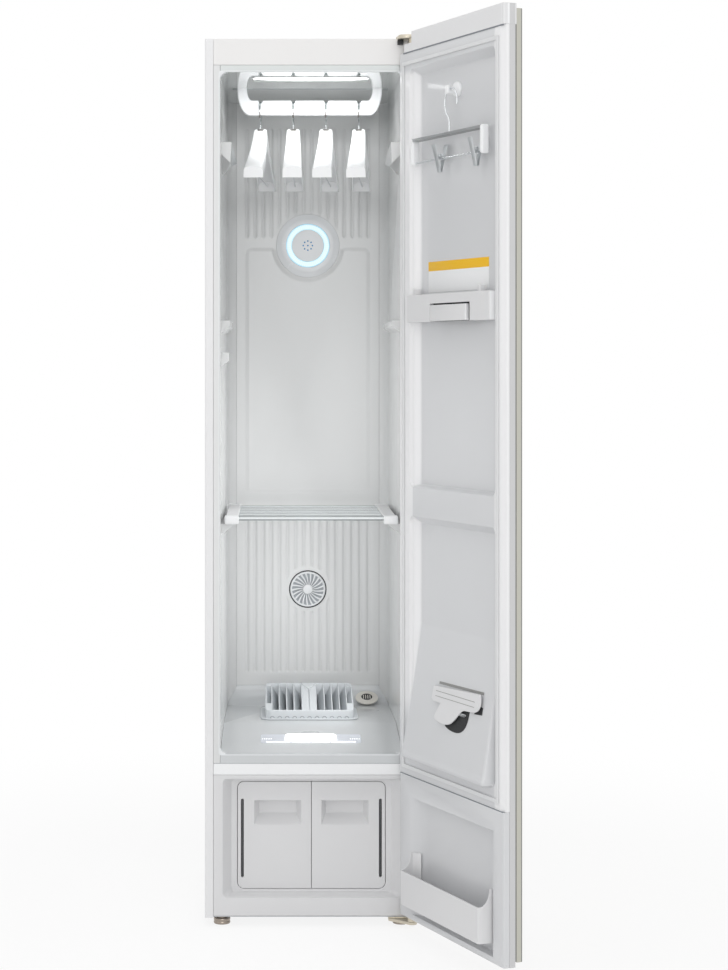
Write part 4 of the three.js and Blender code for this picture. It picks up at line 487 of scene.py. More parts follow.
class Recipe:
    """The node tree of one material, or of the world."""

    def __init__(self, owner: bpy.types.Material | bpy.types.World) -> None:
        """Empties the owner's tree."""
        owner.use_nodes = True
        self.owner = owner
        self.tree = owner.node_tree
        self.tree.nodes.clear()

    def node(self, kind: str, settings: Mapping[str, Any] | None = None,
             inputs: Mapping[str | int, Any] | None = None) -> bpy.types.Node:
        """Adds a node.

        Args:
            kind: Its type.
            settings: Its settings.
            inputs: A value, a socket or a flow for each input that isn't left as it is.

        Returns:
            The node.
        """
        node = self.tree.nodes.new(kind)
        for key, value in (settings or {}).items():
            setattr(node, key, value)
        for key, value in (inputs or {}).items():
            socket = node.inputs[key]
            source = value.socket if isinstance(value, Flow) else value
            if isinstance(source, bpy.types.NodeSocket):
                self.tree.links.new(source, socket)
            else:
                socket.default_value = source
        return node

    def maths(self, operation: str, first: Flow | float, second: Flow | float) -> Flow:
        """Adds a Math node for one step of arithmetic."""
        node = self.node("ShaderNodeMath", {"operation": operation}, {0: first, 1: second})
        return Flow(self, node.outputs[0])

    def mapped(self, inputs: Mapping[str, Any]) -> bpy.types.NodeSocket:
        """Object coordinates, moved or stretched."""
        place = self.node("ShaderNodeTexCoord").outputs["Object"]
        return self.node("ShaderNodeMapping", {"vector_type": "POINT"}, {"Vector": place} | dict(inputs)).outputs[0]

    def about(self, centre: Sequence[float]) -> tuple[Flow, Flow, Flow]:
        """The three object coordinates about a centre given in metres of the shared frame."""
        moved = self.mapped({"Location": [-value for value in centre]})
        node = self.node("ShaderNodeSeparateXYZ", None, {0: moved})
        return Flow(self, node.outputs[0]), Flow(self, node.outputs[1]), Flow(self, node.outputs[2])

    def noise(self, size: float, detail: float = 2.0, stretch: Sequence[float] = (1, 1, 1)) -> Flow:
        """Soft noise from 0 to 1.

        Args:
            size: Size of its patches in millimetres.
            detail: Octaves of finer noise.
            stretch: Factors on the three coordinates; a smaller one draws the patches out.

        Returns:
            The noise.
        """
        drawn = self.mapped({"Scale": stretch})
        node = self.node("ShaderNodeTexNoise", {"noise_dimensions": "3D"},
                         {"Vector": drawn, "Scale": 1 / (size * METRE), "Detail": detail})
        return Flow(self, node.outputs[0])

    def blend(self, share: Flow, first: Any, second: Any) -> bpy.types.NodeSocket:
        """Mixes two colours by a share."""
        node = self.node("ShaderNodeMix", {"data_type": "RGBA"}, {0: share, 6: first, 7: second})
        return node.outputs[2]

    def relief(self, height: Flow, depth: float) -> bpy.types.NodeSocket:
        """Turns a height from 0 to 1 into a bump of that depth in millimetres."""
        inputs = {"Strength": 1.0, "Distance": depth * METRE, "Height": height}
        return self.node("ShaderNodeBump", None, inputs).outputs[0]

    def close(self, shader: bpy.types.NodeSocket) -> bpy.types.Material:
        """Leads the shader to the output and gives the material."""
        self.node("ShaderNodeOutputMaterial", None, {0: shader})
        return self.owner


def tint(red: float, green: float, blue: float, gain: float = 1.0) -> tuple[float, float, float, float]:
    """Linear colour of a screen colour from 0 to 255, times a gain."""
    shares = [value / 255 for value in (red, green, blue)]
    linear = [s / 12.92 if s <= 0.04045 else ((s + 0.055) / 1.055) ** 2.4 for s in shares]
    return linear[0] * gain, linear[1] * gain, linear[2] * gain, 1.0


# Finishes


@dataclass(frozen=True)
class Finish:
    """A finish whose colour, gloss and surface vary a little, as real ones do."""

    name: str
    slot: Slot
    colour: tuple[float, float, float]
    roughness: float
    metallic: float = 0.0
    coat: float = 0.0
    coat_blur: float = 0.12
    drift: float = 0.02
    patch: float = 160.0
    grain: float = 1.4
    relief: float = 0.008
    stretch: tuple[float, float, float] = (1, 1, 1)
    made: ClassVar[dict[str, bpy.types.Material]] = {}

    def tone(self, recipe: Recipe) -> bpy.types.NodeSocket:
        """Base colour: two close tones of the colour, mixed by large soft noise."""
        low, high = tint(*self.colour, gain=1 - self.drift), tint(*self.colour, gain=1 + self.drift)
        return recipe.blend(recipe.noise(self.patch, 3.0, self.stretch), low, high)

    def gloss(self, recipe: Recipe) -> Flow:
        """Roughness: its middle value, moved up and down by noise."""
        return recipe.noise(self.patch / 3, 3.0, self.stretch) * self.roughness * 0.4 + self.roughness * 0.8

    def skin(self, recipe: Recipe) -> bpy.types.NodeSocket:
        """Surface: a fine grain."""
        return recipe.relief(recipe.noise(self.grain, 2.0, self.stretch), self.relief)

    def light(self, recipe: Recipe) -> dict[str, Any]:
        """Inputs that make it shine, if it does."""
        return {}

    def material(self) -> bpy.types.Material:
        """The Blender material, made once."""
        if self.name not in self.made:
            recipe = Recipe(bpy.data.materials.new(self.name))
            inputs = {"Metallic": self.metallic, "Coat Weight": self.coat, "Coat Roughness": self.coat_blur,
                      "Base Color": self.tone(recipe), "Roughness": self.gloss(recipe), "Normal": self.skin(recipe)}
            shader = recipe.node("ShaderNodeBsdfPrincipled", None, inputs | self.light(recipe))
            self.made[self.name] = recipe.close(shader.outputs[0])
        return self.made[self.name]


@dataclass(frozen=True)
class Glow(Finish):
    """A milky lens in front of lamps: it shines evenly and falls off near its edge."""

    strength: float = 1.0
    centre: tuple[float, float, float] = (0, 0, 0)
    half: tuple[float, float] = (100.0, 30.0)
    edge: tuple[float, float] = (0.35, 1.3)
    edge_gain: float = 0.72

    def about(self, recipe: Recipe) -> tuple[Flow, Flow, Flow]:
        """Object coordinates about the lens's centre, in metres."""
        return recipe.about([value * METRE for value in self.centre])

    def shine(self, recipe: Recipe) -> bpy.types.NodeSocket:
        """Colour of the light: (x / half width) ^ 4 + (y / half depth) ^ 4 tells how near its edge is."""
        x, y, _ = self.about(recipe)
        away = abs(x / (self.half[0] * METRE)) ** 4.0 + abs(y / (self.half[1] * METRE)) ** 4.0
        return recipe.blend(away.between(*self.edge), tint(*self.colour), tint(*self.colour, gain=self.edge_gain))

    def light(self, recipe: Recipe) -> dict[str, Any]:
        """Inputs that make it shine."""
        return {"Emission Color": self.shine(recipe), "Emission Strength": self.strength}


@dataclass(frozen=True)
class RingGlow(Glow):
    """The lit ring: pale cyan, a deeper blue outer edge and short white rays.

    half holds its inner and outer radius, and edge where the blue begins and ends between them.
    """

    half: tuple[float, float] = (37.0, 50.0)
    edge: tuple[float, float] = (0.72, 0.98)
    rays: int = 60
    ray_gain: float = 0.85
    pale: tuple[float, float, float] = (196, 236, 250)
    deep: tuple[float, float, float] = (104, 186, 224)

    def shine(self, recipe: Recipe) -> bpy.types.NodeSocket:
        """Colour of the light: rays by the angle about the middle, edge by the radius."""
        x, _, z = self.about(recipe)
        inner, outer = self.half
        share = ((x * x + z * z) ** 0.5 / METRE - inner) / (outer - inner)
        turn = recipe.maths("ARCTAN2", z, x) / (2 * math.pi) * self.rays
        ray = (recipe.maths("FRACT", turn, 0.0) - 0.5).within(0.24, 0.08) * (share - 0.5).within(0.36, 0.06)
        edge = recipe.blend(share.between(*self.edge), tint(*self.pale), tint(*self.deep))
        return recipe.blend(ray * self.ray_gain, edge, tint(255, 255, 255))


@dataclass(frozen=True)
class DoorTone(Finish):
    """The door liner's moulding: its flange is painted a lighter white as painted light, and its hollows a darker
    one as painted shade.
    """

    pin: tuple[float, float] = (0.0, 0.0)
    axis: tuple[float, float] = (1.0, 0.0)
    flange: tuple[float, float, float] = (240, 240, 241)
    free_side: tuple[float, float] = (389.0, 398.0)
    hinge_side: float = 47.0
    foot: tuple[float, float] = (430.0, 500.0)
    head: float = 1775.0

    def tone(self, recipe: Recipe) -> bpy.types.NodeSocket:
        """Base colour: the hollow's darker tone as painted shade, and the lighter one beside the recesses as painted
        light.

        u is x cos(turn) + y sin(turn) about the pins, and turn is the opening less a half turn.
        """
        x, y, z = recipe.about((self.pin[0], self.pin[1], 0.0))
        u = (x * self.axis[0] + y * self.axis[1]) / METRE
        below = (self.head - z / METRE).between(-6.0, 10.0)
        above = (z / METRE).between(*self.foot)
        # Painted light on the flange beside the recesses; everywhere else keeps the darker, shaded tone.
        beside = u.between(*self.free_side) + (self.hinge_side - u).between(-2.0, 3.0) * below * above
        return recipe.blend(beside, super().tone(recipe), tint(*self.flange))


PAINT = Finish("white_body_paint", Slot.WHITE_PAINT, (236, 236, 237), 0.4, coat=0.15, drift=0.008)
WARM_PAINT = Finish("warm_white_cover", Slot.WARM_WHITE, (238, 237, 236), 0.42, drift=0.008)
LINER = Finish("cavity_liner_gloss", Slot.LINER, (222, 223, 223), 0.22, coat=0.35, drift=0.01, grain=3.0,
               relief=0.0015)
CEILING = Finish("cavity_ceiling_gloss", Slot.LINER, (206, 211, 210), 0.05, coat=1.0, coat_blur=0.015,
                 drift=0.01, grain=3.0, relief=0.0)
FLOOR = Finish("cavity_floor_gloss", Slot.LINER, (206, 209, 211), 0.3, coat=1.0, coat_blur=0.03, drift=0.01,
               grain=3.0, relief=0.0005)
FITTING = Finish("cavity_fitting_gloss", Slot.LINER, (230, 232, 234), 0.26, coat=0.3, drift=0.01, grain=3.0,
                 relief=0.0015)
GREY = Finish("pale_grey_moulding", Slot.GREY_PLASTIC, (224, 224, 225), 0.48, drift=0.01, relief=0.006)
FILTER_GREY = Finish("filter_moulding", Slot.GREY_PLASTIC, (214, 218, 221), 0.4, drift=0.015, relief=0.004)
FRAME_GREY = Finish("door_frame_grey", Slot.GREY_PLASTIC, (208, 208, 209), 0.45, drift=0.01, relief=0.006)
WHITE = Finish("white_moulding", Slot.WHITE_PLASTIC, (246, 247, 248), 0.32, coat=0.15, drift=0.008, relief=0.004)
BAR_WHITE = Finish("hanger_bar_moulding", Slot.WHITE_PLASTIC, (238, 239, 241), 0.34, coat=0.1, drift=0.008,
                   relief=0.004)
DOOR = Finish("door_liner_moulding", Slot.DOOR_LINER, (216, 217, 219), 0.34, coat=0.5, coat_blur=0.04, drift=0.008,
              grain=3.0, relief=0.0015)
DOOR_FITTING = Finish("door_fitting_moulding", Slot.DOOR_LINER, (226, 226, 227), 0.36, coat=0.1, drift=0.008,
                      grain=3.0, relief=0.0015)
DOOR_CAP = Finish("door_cap_moulding", Slot.DOOR_LINER, (230, 230, 231), 0.4, drift=0.008, relief=0.003)
CHROME = Finish("bright_plated_wire", Slot.CHROME, (226, 228, 230), 0.14, metallic=1.0, drift=0.03, patch=30,
                grain=3.0, relief=0.003)
ROD = Finish("shelf_rod_plating", Slot.CHROME, (186, 190, 191), 0.2, metallic=0.95, drift=0.03, patch=30,
             relief=0.002)
SPRING_STEEL = Finish("spring_steel", Slot.CHROME, (205, 208, 210), 0.3, metallic=0.9, drift=0.04, patch=12,
                      relief=0.004)
TRIM = Finish("champagne_sheet", Slot.TRIM, (196, 195, 185), 0.36, metallic=0.6, drift=0.03, patch=60,
              grain=1.0, relief=0.003, stretch=(1, 1, 0.04))
BRACKET = Finish("champagne_plating", Slot.BRACKET, (206, 198, 181), 0.36, metallic=0.85, drift=0.04, patch=25,
                 relief=0.006)
STRAP = Finish("hanger_strap", Slot.CHROME, (150, 152, 153), 0.35, metallic=0.5, drift=0.03, patch=20, relief=0.003)
STEEL = Finish("dark_machine_steel", Slot.DARK_STEEL, (128, 126, 122), 0.42, metallic=0.85, drift=0.06,
               patch=40, grain=1.2, relief=0.01)
FOOT = Finish("foot_plating", Slot.DARK_STEEL, (158, 148, 138), 0.2, metallic=1.0, drift=0.08, patch=10,
              grain=1.2, relief=0.006)
MACHINE = Finish("dull_machine_metal", Slot.MACHINE, (130, 132, 136), 0.5, metallic=0.6, drift=0.06, patch=30)
GALVANISED = Finish("galvanised_sheet", Slot.GALVANISED, (186, 189, 192), 0.4, metallic=0.8, drift=0.08,
                    patch=14, grain=6.0, relief=0.01)
GASKET = Finish("door_seal", Slot.GASKET, (226, 227, 228), 0.6, drift=0.02, grain=0.8, relief=0.02)
TANK = Finish("tank_moulding", Slot.TANK, (205, 212, 218), 0.25, coat=0.3, drift=0.02)
DARK = Finish("dark_window", Slot.TANK, (52, 54, 57), 0.16, coat=0.6, drift=0.05, patch=30)
# Painted shade where it fills the nozzle's mouth, the grille's gap, the presser's pocket and the hem clamp's
# opening; the hinge stop is black of its own.
SHADOW = Finish("dark_hollow", Slot.DARK_STEEL, (40, 41, 43), 0.7, drift=0.05, patch=10)
# Painted shade: a dark strip along the front panel's free edge.
EDGE_SHADE = Finish("door_outer_skin", Slot.TRIM, (132, 134, 132), 0.4, metallic=0.4, drift=0.03, patch=60,
                    relief=0.003)
# Painted shade: darker strips and lines for the shade in the door's edge gap, the hem clamp's grooves and under its
# top edge.
SEAM_SHADE = Finish("door_edge_seam", Slot.GREY_PLASTIC, (150, 150, 148), 0.6, drift=0.02, relief=0.004)
GREY_LEG = Finish("hook_sleeve", Slot.CHROME, (136, 144, 143), 0.4, metallic=0.3, drift=0.03, patch=20, relief=0.003)
LAMP_GREY = Finish("lamp_housing", Slot.LAMP_LENS, (214, 218, 226), 0.3, coat=0.3, drift=0.01, relief=0.002)
# Painted shade: the mid-grey disc behind the grille's vanes stands in for the shaded inside seen between them.
SHADE_DISC = Finish("grille_gauze", Slot.GREY_PLASTIC, (176, 181, 186), 0.6, drift=0.04, patch=20)
# Painted shade: grey strips and rims stand in for the shade in seams, slots, grooves and vent openings.
SHADE_GREY = Finish("grey_hollow", Slot.GREY_PLASTIC, (128, 133, 139), 0.6, drift=0.04, patch=20)
CARD = Finish("plain_card", Slot.WHITE_PLASTIC, (240, 241, 242), 0.55, drift=0.015, grain=0.8, relief=0.005)
CARD_BAND = Finish("card_amber_band", Slot.WHITE_PLASTIC, (244, 190, 16), 0.5, drift=0.02, grain=0.8,
                   relief=0.005)
BEIGE = Finish("nozzle_moulding", Slot.WARM_WHITE, (226, 223, 215), 0.4, drift=0.02)


# Workshop


def added(name: str, data: Any) -> bpy.types.Object:
    """Adds an object with that data to the scene."""
    thing = bpy.data.objects.new(name, data)
    bpy.context.scene.collection.objects.link(thing)
    return thing


def shaded(name: str, mesh: bpy.types.Mesh, angle: float) -> bpy.types.Object:
    """Adds a smooth object whose edges stay sharp above an angle in degrees."""
    mesh.shade_smooth()
    mesh.set_sharp_from_angle(angle=math.radians(angle))
    return added(name, mesh)


@dataclass
class Workshop:
    """The packed model, where its axes lie, and how a piece of it is finished."""

    frame: Mapping[str, Any]
    shift: Array
    hinge: tuple[float, float] = (207.0, -25.0)
    opening: float = math.radians(112.8)
    count: int = 0

    @staticmethod
    def around(frame: Mapping[str, Any]) -> Workshop:
        """Finds the body's middle and front face in the packed model.


        Returns:
            The workshop.
        """
        left_low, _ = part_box("side_panel_left")
        _, right_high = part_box("side_panel_right")
        shift = np.array([(left_low.x + right_high.x) / 2, left_low.y, 0.0]) / METRE
        return Workshop(frame, shift)

    def body(self, points: Array) -> Array:
        """Moves points of the cabinet's axes to the shared frame, in metres."""
        return (np.asarray(points, float) + self.shift) * METRE

    def own(self, mesh: bpy.types.Mesh) -> Array:
        """A mesh's points in the cabinet's axes, in millimetres."""
        points = np.empty(len(mesh.vertices) * 3)
        mesh.vertices.foreach_get("co", points)
        return points.reshape(-1, 3) / METRE - self.shift

    def door(self, points: Array) -> Array:
        """Moves points given as (u, v, z) on the door to the shared frame, in metres.

        X is the pin's X - u cos(opening) - v sin(opening), and Y its Y - u sin + v cos.
        """
        u, v, z = np.moveaxis(np.asarray(points, float), -1, 0)
        turn_cos, turn_sin = math.cos(self.opening), math.sin(self.opening)
        x = self.hinge[0] - u * turn_cos - v * turn_sin
        y = self.hinge[1] - u * turn_sin + v * turn_cos
        return self.body(np.stack([x, y, z], axis=-1))

    def on_door(self, node: str) -> tuple[Array, Array]:
        """Lowest and highest (u, v, z) of a CAD node of the door.

        Args:
            node: The node's name.

        Returns:
            The two corners in millimetres.
        """
        points = self.own(self.frame["nodes"][node].data)
        x, y = points[:, 0] - self.hinge[0], points[:, 1] - self.hinge[1]
        turn_cos, turn_sin = math.cos(self.opening), math.sin(self.opening)
        own = np.stack([-x * turn_cos - y * turn_sin, -x * turn_sin + y * turn_cos, points[:, 2]], axis=-1)
        return own.min(axis=0), own.max(axis=0)

    def finish(self, piece: bpy.types.Object, finish: Finish, body: str, nodes: Sequence[str]) -> None:
        """Gives a piece its material and body, and hides the CAD nodes that it stands for."""
        piece.data.materials.clear()
        piece.data.materials.append(finish.material())
        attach(piece, body)
        if nodes:
            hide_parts(*nodes)
        self.count += 1
        log.info("%s rides on %s", piece.name, body)

    def make(self, name: str, parts: Surface | Sequence[Surface], finish: Finish, body: str,
             nodes: Sequence[str] = (), door: bool = False, angle: float = 38.0) -> bpy.types.Object:
        """Makes a piece from surfaces in millimetres.

        Args:
            name: The piece's name.
            parts: One closed surface or several.
            finish: Its finish.
            body: The CAD body that it moves with.
            nodes: CAD nodes that it stands for.
            door: Whether its points are (u, v, z) of the door.
            angle: Edges sharper than this stay sharp, in degrees.

        Returns:
            The object.
        """
        place = self.door if door else self.body
        each = [parts] if isinstance(parts, Surface) else list(parts)
        surface = Surface.joined([part.placed(place) for part in each])
        faces = [face[face >= 0].tolist() for face in surface.faces]
        faces += [lid.tolist() for lid in surface.lids]
        mesh = bpy.data.meshes.new(name)
        mesh.from_pydata(surface.points.tolist(), [], faces)
        mesh.update()
        piece = shaded(name, mesh, angle)
        self.finish(piece, finish, body, nodes)
        return piece

    def box(self, name: str, low: Sequence[float], high: Sequence[float], radius: float, finish: Finish,
            body: str = "door") -> None:
        """Makes a piece that is one block with round edges, on the cabinet or on a body of the door."""
        self.make(name, block(low, high, radius), finish, body, door=body != "cabinet")

    def soften(self, node: str, finish: Finish, width: float, segments: int = 2, angle: float = 34.0,
               moved: Callable[[Array], Array] | None = None, above: float | None = None) -> bpy.types.Object:
        """Makes a copy of a CAD node whose hard edges are round.

        Args:
            node: The node that it stands for.
            finish: Its finish.
            width: Width of the round edges in millimetres.
            segments: Steps across an edge.
            angle: Edges flatter than this stay as they are, in degrees.
            moved: Carries the cabinet's points to new places.
            above: Height under which the copy is cut away.

        Returns:
            The object.
        """
        source = self.frame["nodes"][node]
        mesh = source.data.copy()
        mesh.name = f"{node}_finished"
        work = bmesh.new()
        work.from_mesh(mesh)
        bmesh.ops.remove_doubles(work, verts=work.verts, dist=WELD)
        bmesh.ops.dissolve_limit(work, angle_limit=FLAT, verts=work.verts, edges=work.edges)
        if above is not None:
            every = work.verts[:] + work.edges[:] + work.faces[:]
            cut = bmesh.ops.bisect_plane(work, geom=every, plane_co=(0, 0, above * METRE), plane_no=UP,
                                         clear_inner=True)
            rim = [part for part in cut["geom_cut"] if isinstance(part, bmesh.types.BMEdge)]
            bmesh.ops.holes_fill(work, edges=rim)
            bmesh.ops.recalc_face_normals(work, faces=work.faces)
        work.to_mesh(mesh)
        work.free()
        if moved is not None:
            mesh.vertices.foreach_set("co", self.body(moved(self.own(mesh))).ravel())
            mesh.update()
        piece = shaded(f"{node}_finished", mesh, angle)
        if width > 0:
            bevel = piece.modifiers.new("round_edges", "BEVEL")
            bevel.width, bevel.segments = width * METRE, segments
            bevel.limit_method, bevel.angle_limit = "ANGLE", math.radians(angle)
            bevel.use_clamp_overlap = bevel.harden_normals = True
        self.finish(piece, finish, str(source["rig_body"]), [node])
        return piece


# Sub-assemblies


@dataclass
class Casing:
    """Folded side panels, top cover, crossbar, back, base and feet."""

    feet: tuple[tuple[str, float, float, float], ...] = (
        ("foot_front_left", -187.5, 30.0, 19.7), ("foot_front_right", 187.5, 30.0, 11.7))
    foot_radius: float = 17.5
    pad: float = 14.0
    neck: float = 11.4
    pin: tuple[float, float, float] = (207.0, -25.0, 1848.0)
    arm: tuple[float, float] = (1846.4, 1854.6)
    arm_path: ClassVar[list[list[float]]] = [[217.0, 6], [217.0, -30], [207, -34.6], [192, -34.6], [181, -30],
                                             [178, -12], [178, 6]]

    def foot(self, x: float, y: float, height: float) -> Surface:
        """A levelling foot: a broad turned pad with a waist and a neck under the tray."""
        r, top, neck = self.foot_radius, min(height, self.pad), self.neck
        profile = [(0.5, 0), (r - 2.5, 0), (r - 0.6, 0.8), (r, 2.2), (r, top * 0.34), (r - 0.7, top * 0.42),
                   (r - 0.7, top * 0.5), (r, top * 0.58), (r, top - 2.4), (r - 1.0, top - 0.9),
                   (r - 3.5, top - 0.2), (neck, top - 0.1), (neck, height), (0.5, height)]
        return turned(profile, (x, y, 0), UP, 72)

    def build(self, shop: Workshop) -> None:
        """Makes and dresses the pieces."""
        for node, finish, width in (("side_panel_left", PAINT, 0.5), ("side_panel_right", PAINT, 0.5),
                                    ("top_cover", WARM_PAINT, 0.8), ("crossbar", WHITE, 1.2),
                                    ("base_tray", GALVANISED, 0.3), ("back_panel", GALVANISED, 0.2)):
            shop.soften(node, finish, width)
        for node, x, y, height in self.feet:
            shop.make(f"{node}_turned", self.foot(x, y, height), FOOT, "cabinet", [node])
        hinge = [plate(eased(self.arm_path), *self.arm, 1.4),
                 block((176.5, -0.6, 1850.4), (214.0, 68.0, 1854.4), 1.0), drum(6.5, -22, 0, self.pin, UP, 24)]
        shop.make("top_hinge_arm", hinge, BRACKET, "cabinet", ["top_hinge_bracket"])
        shop.box("top_hinge_stop", (178.5, -15.0, 1837.0), (190.5, -0.5, 1846.6), 0.8, SHADOW, "cabinet")
        shop.soften("bottom_hinge_bracket", BRACKET, 0.6)


@dataclass
class BackWall:
    """The cavity's back wall: two rows of pressed grooves, a bevelled recess and a boss for the disc."""

    half: float = 164.5
    low: float = 430.3
    high: float = 1772.3
    face: float = 490.0
    thickness: float = 5.0
    pitch: float = 18.67
    grooves: int = 16
    groove_half: float = 5.5
    groove_depth: float = 2.0
    upper: tuple[float, float] = (1462.0, 1717.0)
    lower: tuple[float, float] = (459.0, 838.0)
    disc: tuple[float, float, float] = (0.0, 1445.0, 84.0)
    fan: tuple[float, float, float] = (0.0, 652.0, 53.0)
    recess: tuple[float, float, float, float] = (-144.5, 144.5, 872.7, 1441.0)
    recess_depth: float = 3.0
    recess_corner: float = 16.0
    bevel: float = 9.0
    duct: float = 37.0
    coarse: float = 14.0
    across: ClassVar[list[float]] = [-5.5, -4.4, -3.2, -1.6, 0, 1.6, 3.2, 4.4, 5.5, 9.3]
    fine: ClassVar[list[tuple[float, float, float]]] = [
        (455, 466, 1.5), (599, 706, 2.2), (830, 840, 1.5), (869, 892, 1.7), (1361, 1416, 2.6), (1416, 1446, 1.7),
        (1446, 1530, 2.6), (1709, 1720, 1.5)]

    def depth(self, x: Array, z: Array) -> Array:
        """How far the face lies behind its plane.

        A groove is a cosine dip across its distance from a middle line that ends short of its round
        ends. The recess falls evenly over its bevel. Both fade out round the disc's boss and the
        fan's land.

        Args:
            x: Coordinates across the wall.
            z: Heights.

        Returns:
            The depth at each point.
        """
        nearest = (np.round(x / self.pitch - 0.5) + 0.5) * self.pitch
        outermost = (self.grooves / 2 - 0.5) * self.pitch
        across = x - np.clip(nearest, -outermost, outermost)
        depth = np.zeros_like(x)
        for low, high in (self.upper, self.lower):
            beyond = np.maximum(0, np.maximum(low + self.groove_half - z, z - high + self.groove_half))
            away = np.clip(np.hypot(across, beyond) / self.groove_half, 0, 1)
            depth = np.maximum(depth, self.groove_depth * (0.5 + 0.5 * np.cos(np.pi * away)))
        soft = np.clip(inside(x, z, self.recess, self.recess_corner) / self.bevel, 0, 1)
        depth = np.maximum(depth, self.recess_depth * (0.75 * soft + 0.25 * smooth(0, 1, soft)))
        for (centre_x, centre_z, radius), within, beyond in ((self.disc, 9, 1), (self.fan, 2, 1.5)):
            depth = depth * smooth(radius - within, radius + beyond, np.hypot(x - centre_x, z - centre_z))
        return depth

    def surface(self) -> Surface:
        """The wall as a grid: y is the face plus the depth, and the back is a plane."""
        centres = (np.arange(self.grooves) - self.grooves / 2 + 0.5) * self.pitch
        x = np.unique(np.round((centres[:, None] + np.array(self.across)).ravel(), 3))
        x = np.concatenate([[-self.half, -157, -150], x[x < 150], [157, self.half]])
        z = graded((self.low, self.high), self.coarse, self.fine)
        grid_z, grid_x = np.meshgrid(z, x, indexing="ij")
        front = np.stack([grid_x, self.face + self.depth(grid_x, grid_z), grid_z], axis=-1)
        back = np.stack([grid_x, np.full_like(grid_x, self.face + self.thickness), grid_z], axis=-1)
        middle_x, middle_z = (x[1:] + x[:-1]) / 2, (z[1:] + z[:-1]) / 2
        kept = np.hypot(middle_x[None] - self.fan[0], middle_z[:, None] - self.fan[1]) > self.duct
        return sheet(front, back, kept)

    def build(self, shop: Workshop) -> None:
        """Makes and dresses the wall."""
        shop.make("cavity_back_wall_pressed", self.surface(), LINER, "cabinet", ["cavity_back_wall"], angle=60)


@dataclass
class LightDisc:
    """The round light on the back wall: its body, lit ring and nine small indicator lenses."""

    at: tuple[float, float, float] = (0.0, 481.7, 1445.0)
    dots: int = 8
    dot_circle: float = 10.5
    glow: float = 0.45

    def body(self) -> Surface:
        """The disc: a bezel that falls back at its rim, a channel for the ring and a flat middle."""
        profile = [(0.4, 0.1), (34.0, 0.1), (36.4, 0.5), (36.9, 1.6), (37.0, 3.2), (50.0, 3.2), (50.1, 1.2),
                   (50.8, 0.3), (53.0, 0.0), (60.5, 0.9), (62.6, 1.6), (64.6, 2.6), (70.6, 3.4), (72.3, 4.2),
                   (73.0, 5.6), (73.0, 8.0), (0.4, 8.0)]
        return turned(profile, self.at, BACK, 128)

    def ring(self) -> Surface:
        """The ring lens: a low rounded band closed on itself."""
        profile = [(37.3, 3.0), (37.3, 1.2), (38.1, 0.4), (40.0, 0.05), (46.5, 0.05), (48.6, 0.4),
                   (49.7, 1.3), (49.7, 3.0)]
        return hoop(profile, self.at, 160)

    def build(self, shop: Workshop) -> None:
        """Makes and dresses the three pieces."""
        shop.make("light_disc_turned", self.body(), FITTING, "cabinet", ["light_disc"], angle=25)
        lens = RingGlow("ring_lens_lit", Slot.RING_LENS, (214, 240, 250), 0.3,
                        centre=tuple(shop.body(self.at) / METRE), strength=self.glow)
        shop.make("light_ring_lens_lit", self.ring(), lens, "cabinet", ["light_ring_lens"])
        places = np.concatenate([circle(self.dot_circle, self.dots), [[0, 0]]])
        profile = [(0.1, -0.45), (1.0, -0.4), (1.7, -0.1), (1.95, 0.4), (0.1, 0.4)]
        domes = [turned(profile, (self.at[0] + x, self.at[1], self.at[2] + z), BACK, 20) for x, z in places]
        blue = Finish("indicator_lens", Slot.RING_LENS, (40, 132, 186), 0.2, coat=0.5, drift=0.04, patch=6)
        shop.make("light_disc_indicators", domes, blue, "cabinet")


@dataclass
class FanGrille:
    """The round grille: a rim, a hub and curved vanes between them, with the fan behind."""

    at: tuple[float, float, float] = (0.0, 483.7, 652.0)
    vanes: int = 21
    sweep: float = 0.22
    hub: float = 9.5
    reach: float = 28.3
    vane_depth: float = 2.4

    def vane(self, start: float) -> Surface:
        """One vane: a thin bar from the hub to the rim whose angle grows with the radius."""
        radius = np.linspace(self.hub, self.hub + self.reach, 10)
        share = (radius - self.hub) / self.reach
        angle = start + self.sweep * share
        half = (0.9 + 1.5 * share)[:, None, None]
        path = np.stack([self.at[0] + radius * np.cos(angle), np.full_like(radius, self.at[1] + self.vane_depth),
                         self.at[2] + radius * np.sin(angle)], axis=-1)
        profile = rounded(1.0, 1.0, 0.5, 3)[None] * np.concatenate([np.full_like(half, 1.9), half], axis=-1)
        return swept(path, profile, BACK)

    def build(self, shop: Workshop) -> None:
        """Makes and dresses the grille, a dark ring of painted shade in its gap, a grey disc of painted shade behind
        its vanes, the fan and its motor.
        """
        rim = hoop([(36.0, 5.9), (36.0, 1.4), (36.8, 0.3), (38.2, 0.0), (39.6, 0.5), (40.2, 1.8), (40.4, 4.6),
                    (43.4, 4.9), (43.4, 5.9)], self.at, 112)
        hub = turned([(POLE, -2.0), (8.6, -2.0), (10.6, -1.2), (11.4, 0.4), (11.4, 5.4), (POLE, 5.4)], self.at,
                     BACK, 48)
        spokes = [self.vane(2 * math.pi * k / self.vanes) for k in range(self.vanes)]
        shop.make("fan_grille_vaned", [rim, hub] + spokes, FITTING, "cabinet", ["fan_grille"])
        # Painted shade: a dark ring in the gap round the rim, and a grey disc behind the vanes.
        gap = hoop([(40.9, 4.4), (43.2, 4.4), (43.3, 6.2), (40.9, 6.2)], self.at, 112)
        shop.make("fan_grille_gap", gap, SHADOW, "cabinet")
        shop.make("fan_grille_gauze", drum(36.5, 5.0, 5.8, self.at, BACK, 64), SHADE_DISC, "cabinet")
        shop.soften("circulation_fan", GREY, 0.0)
        shop.soften("fan_motor", STEEL, 0.4)


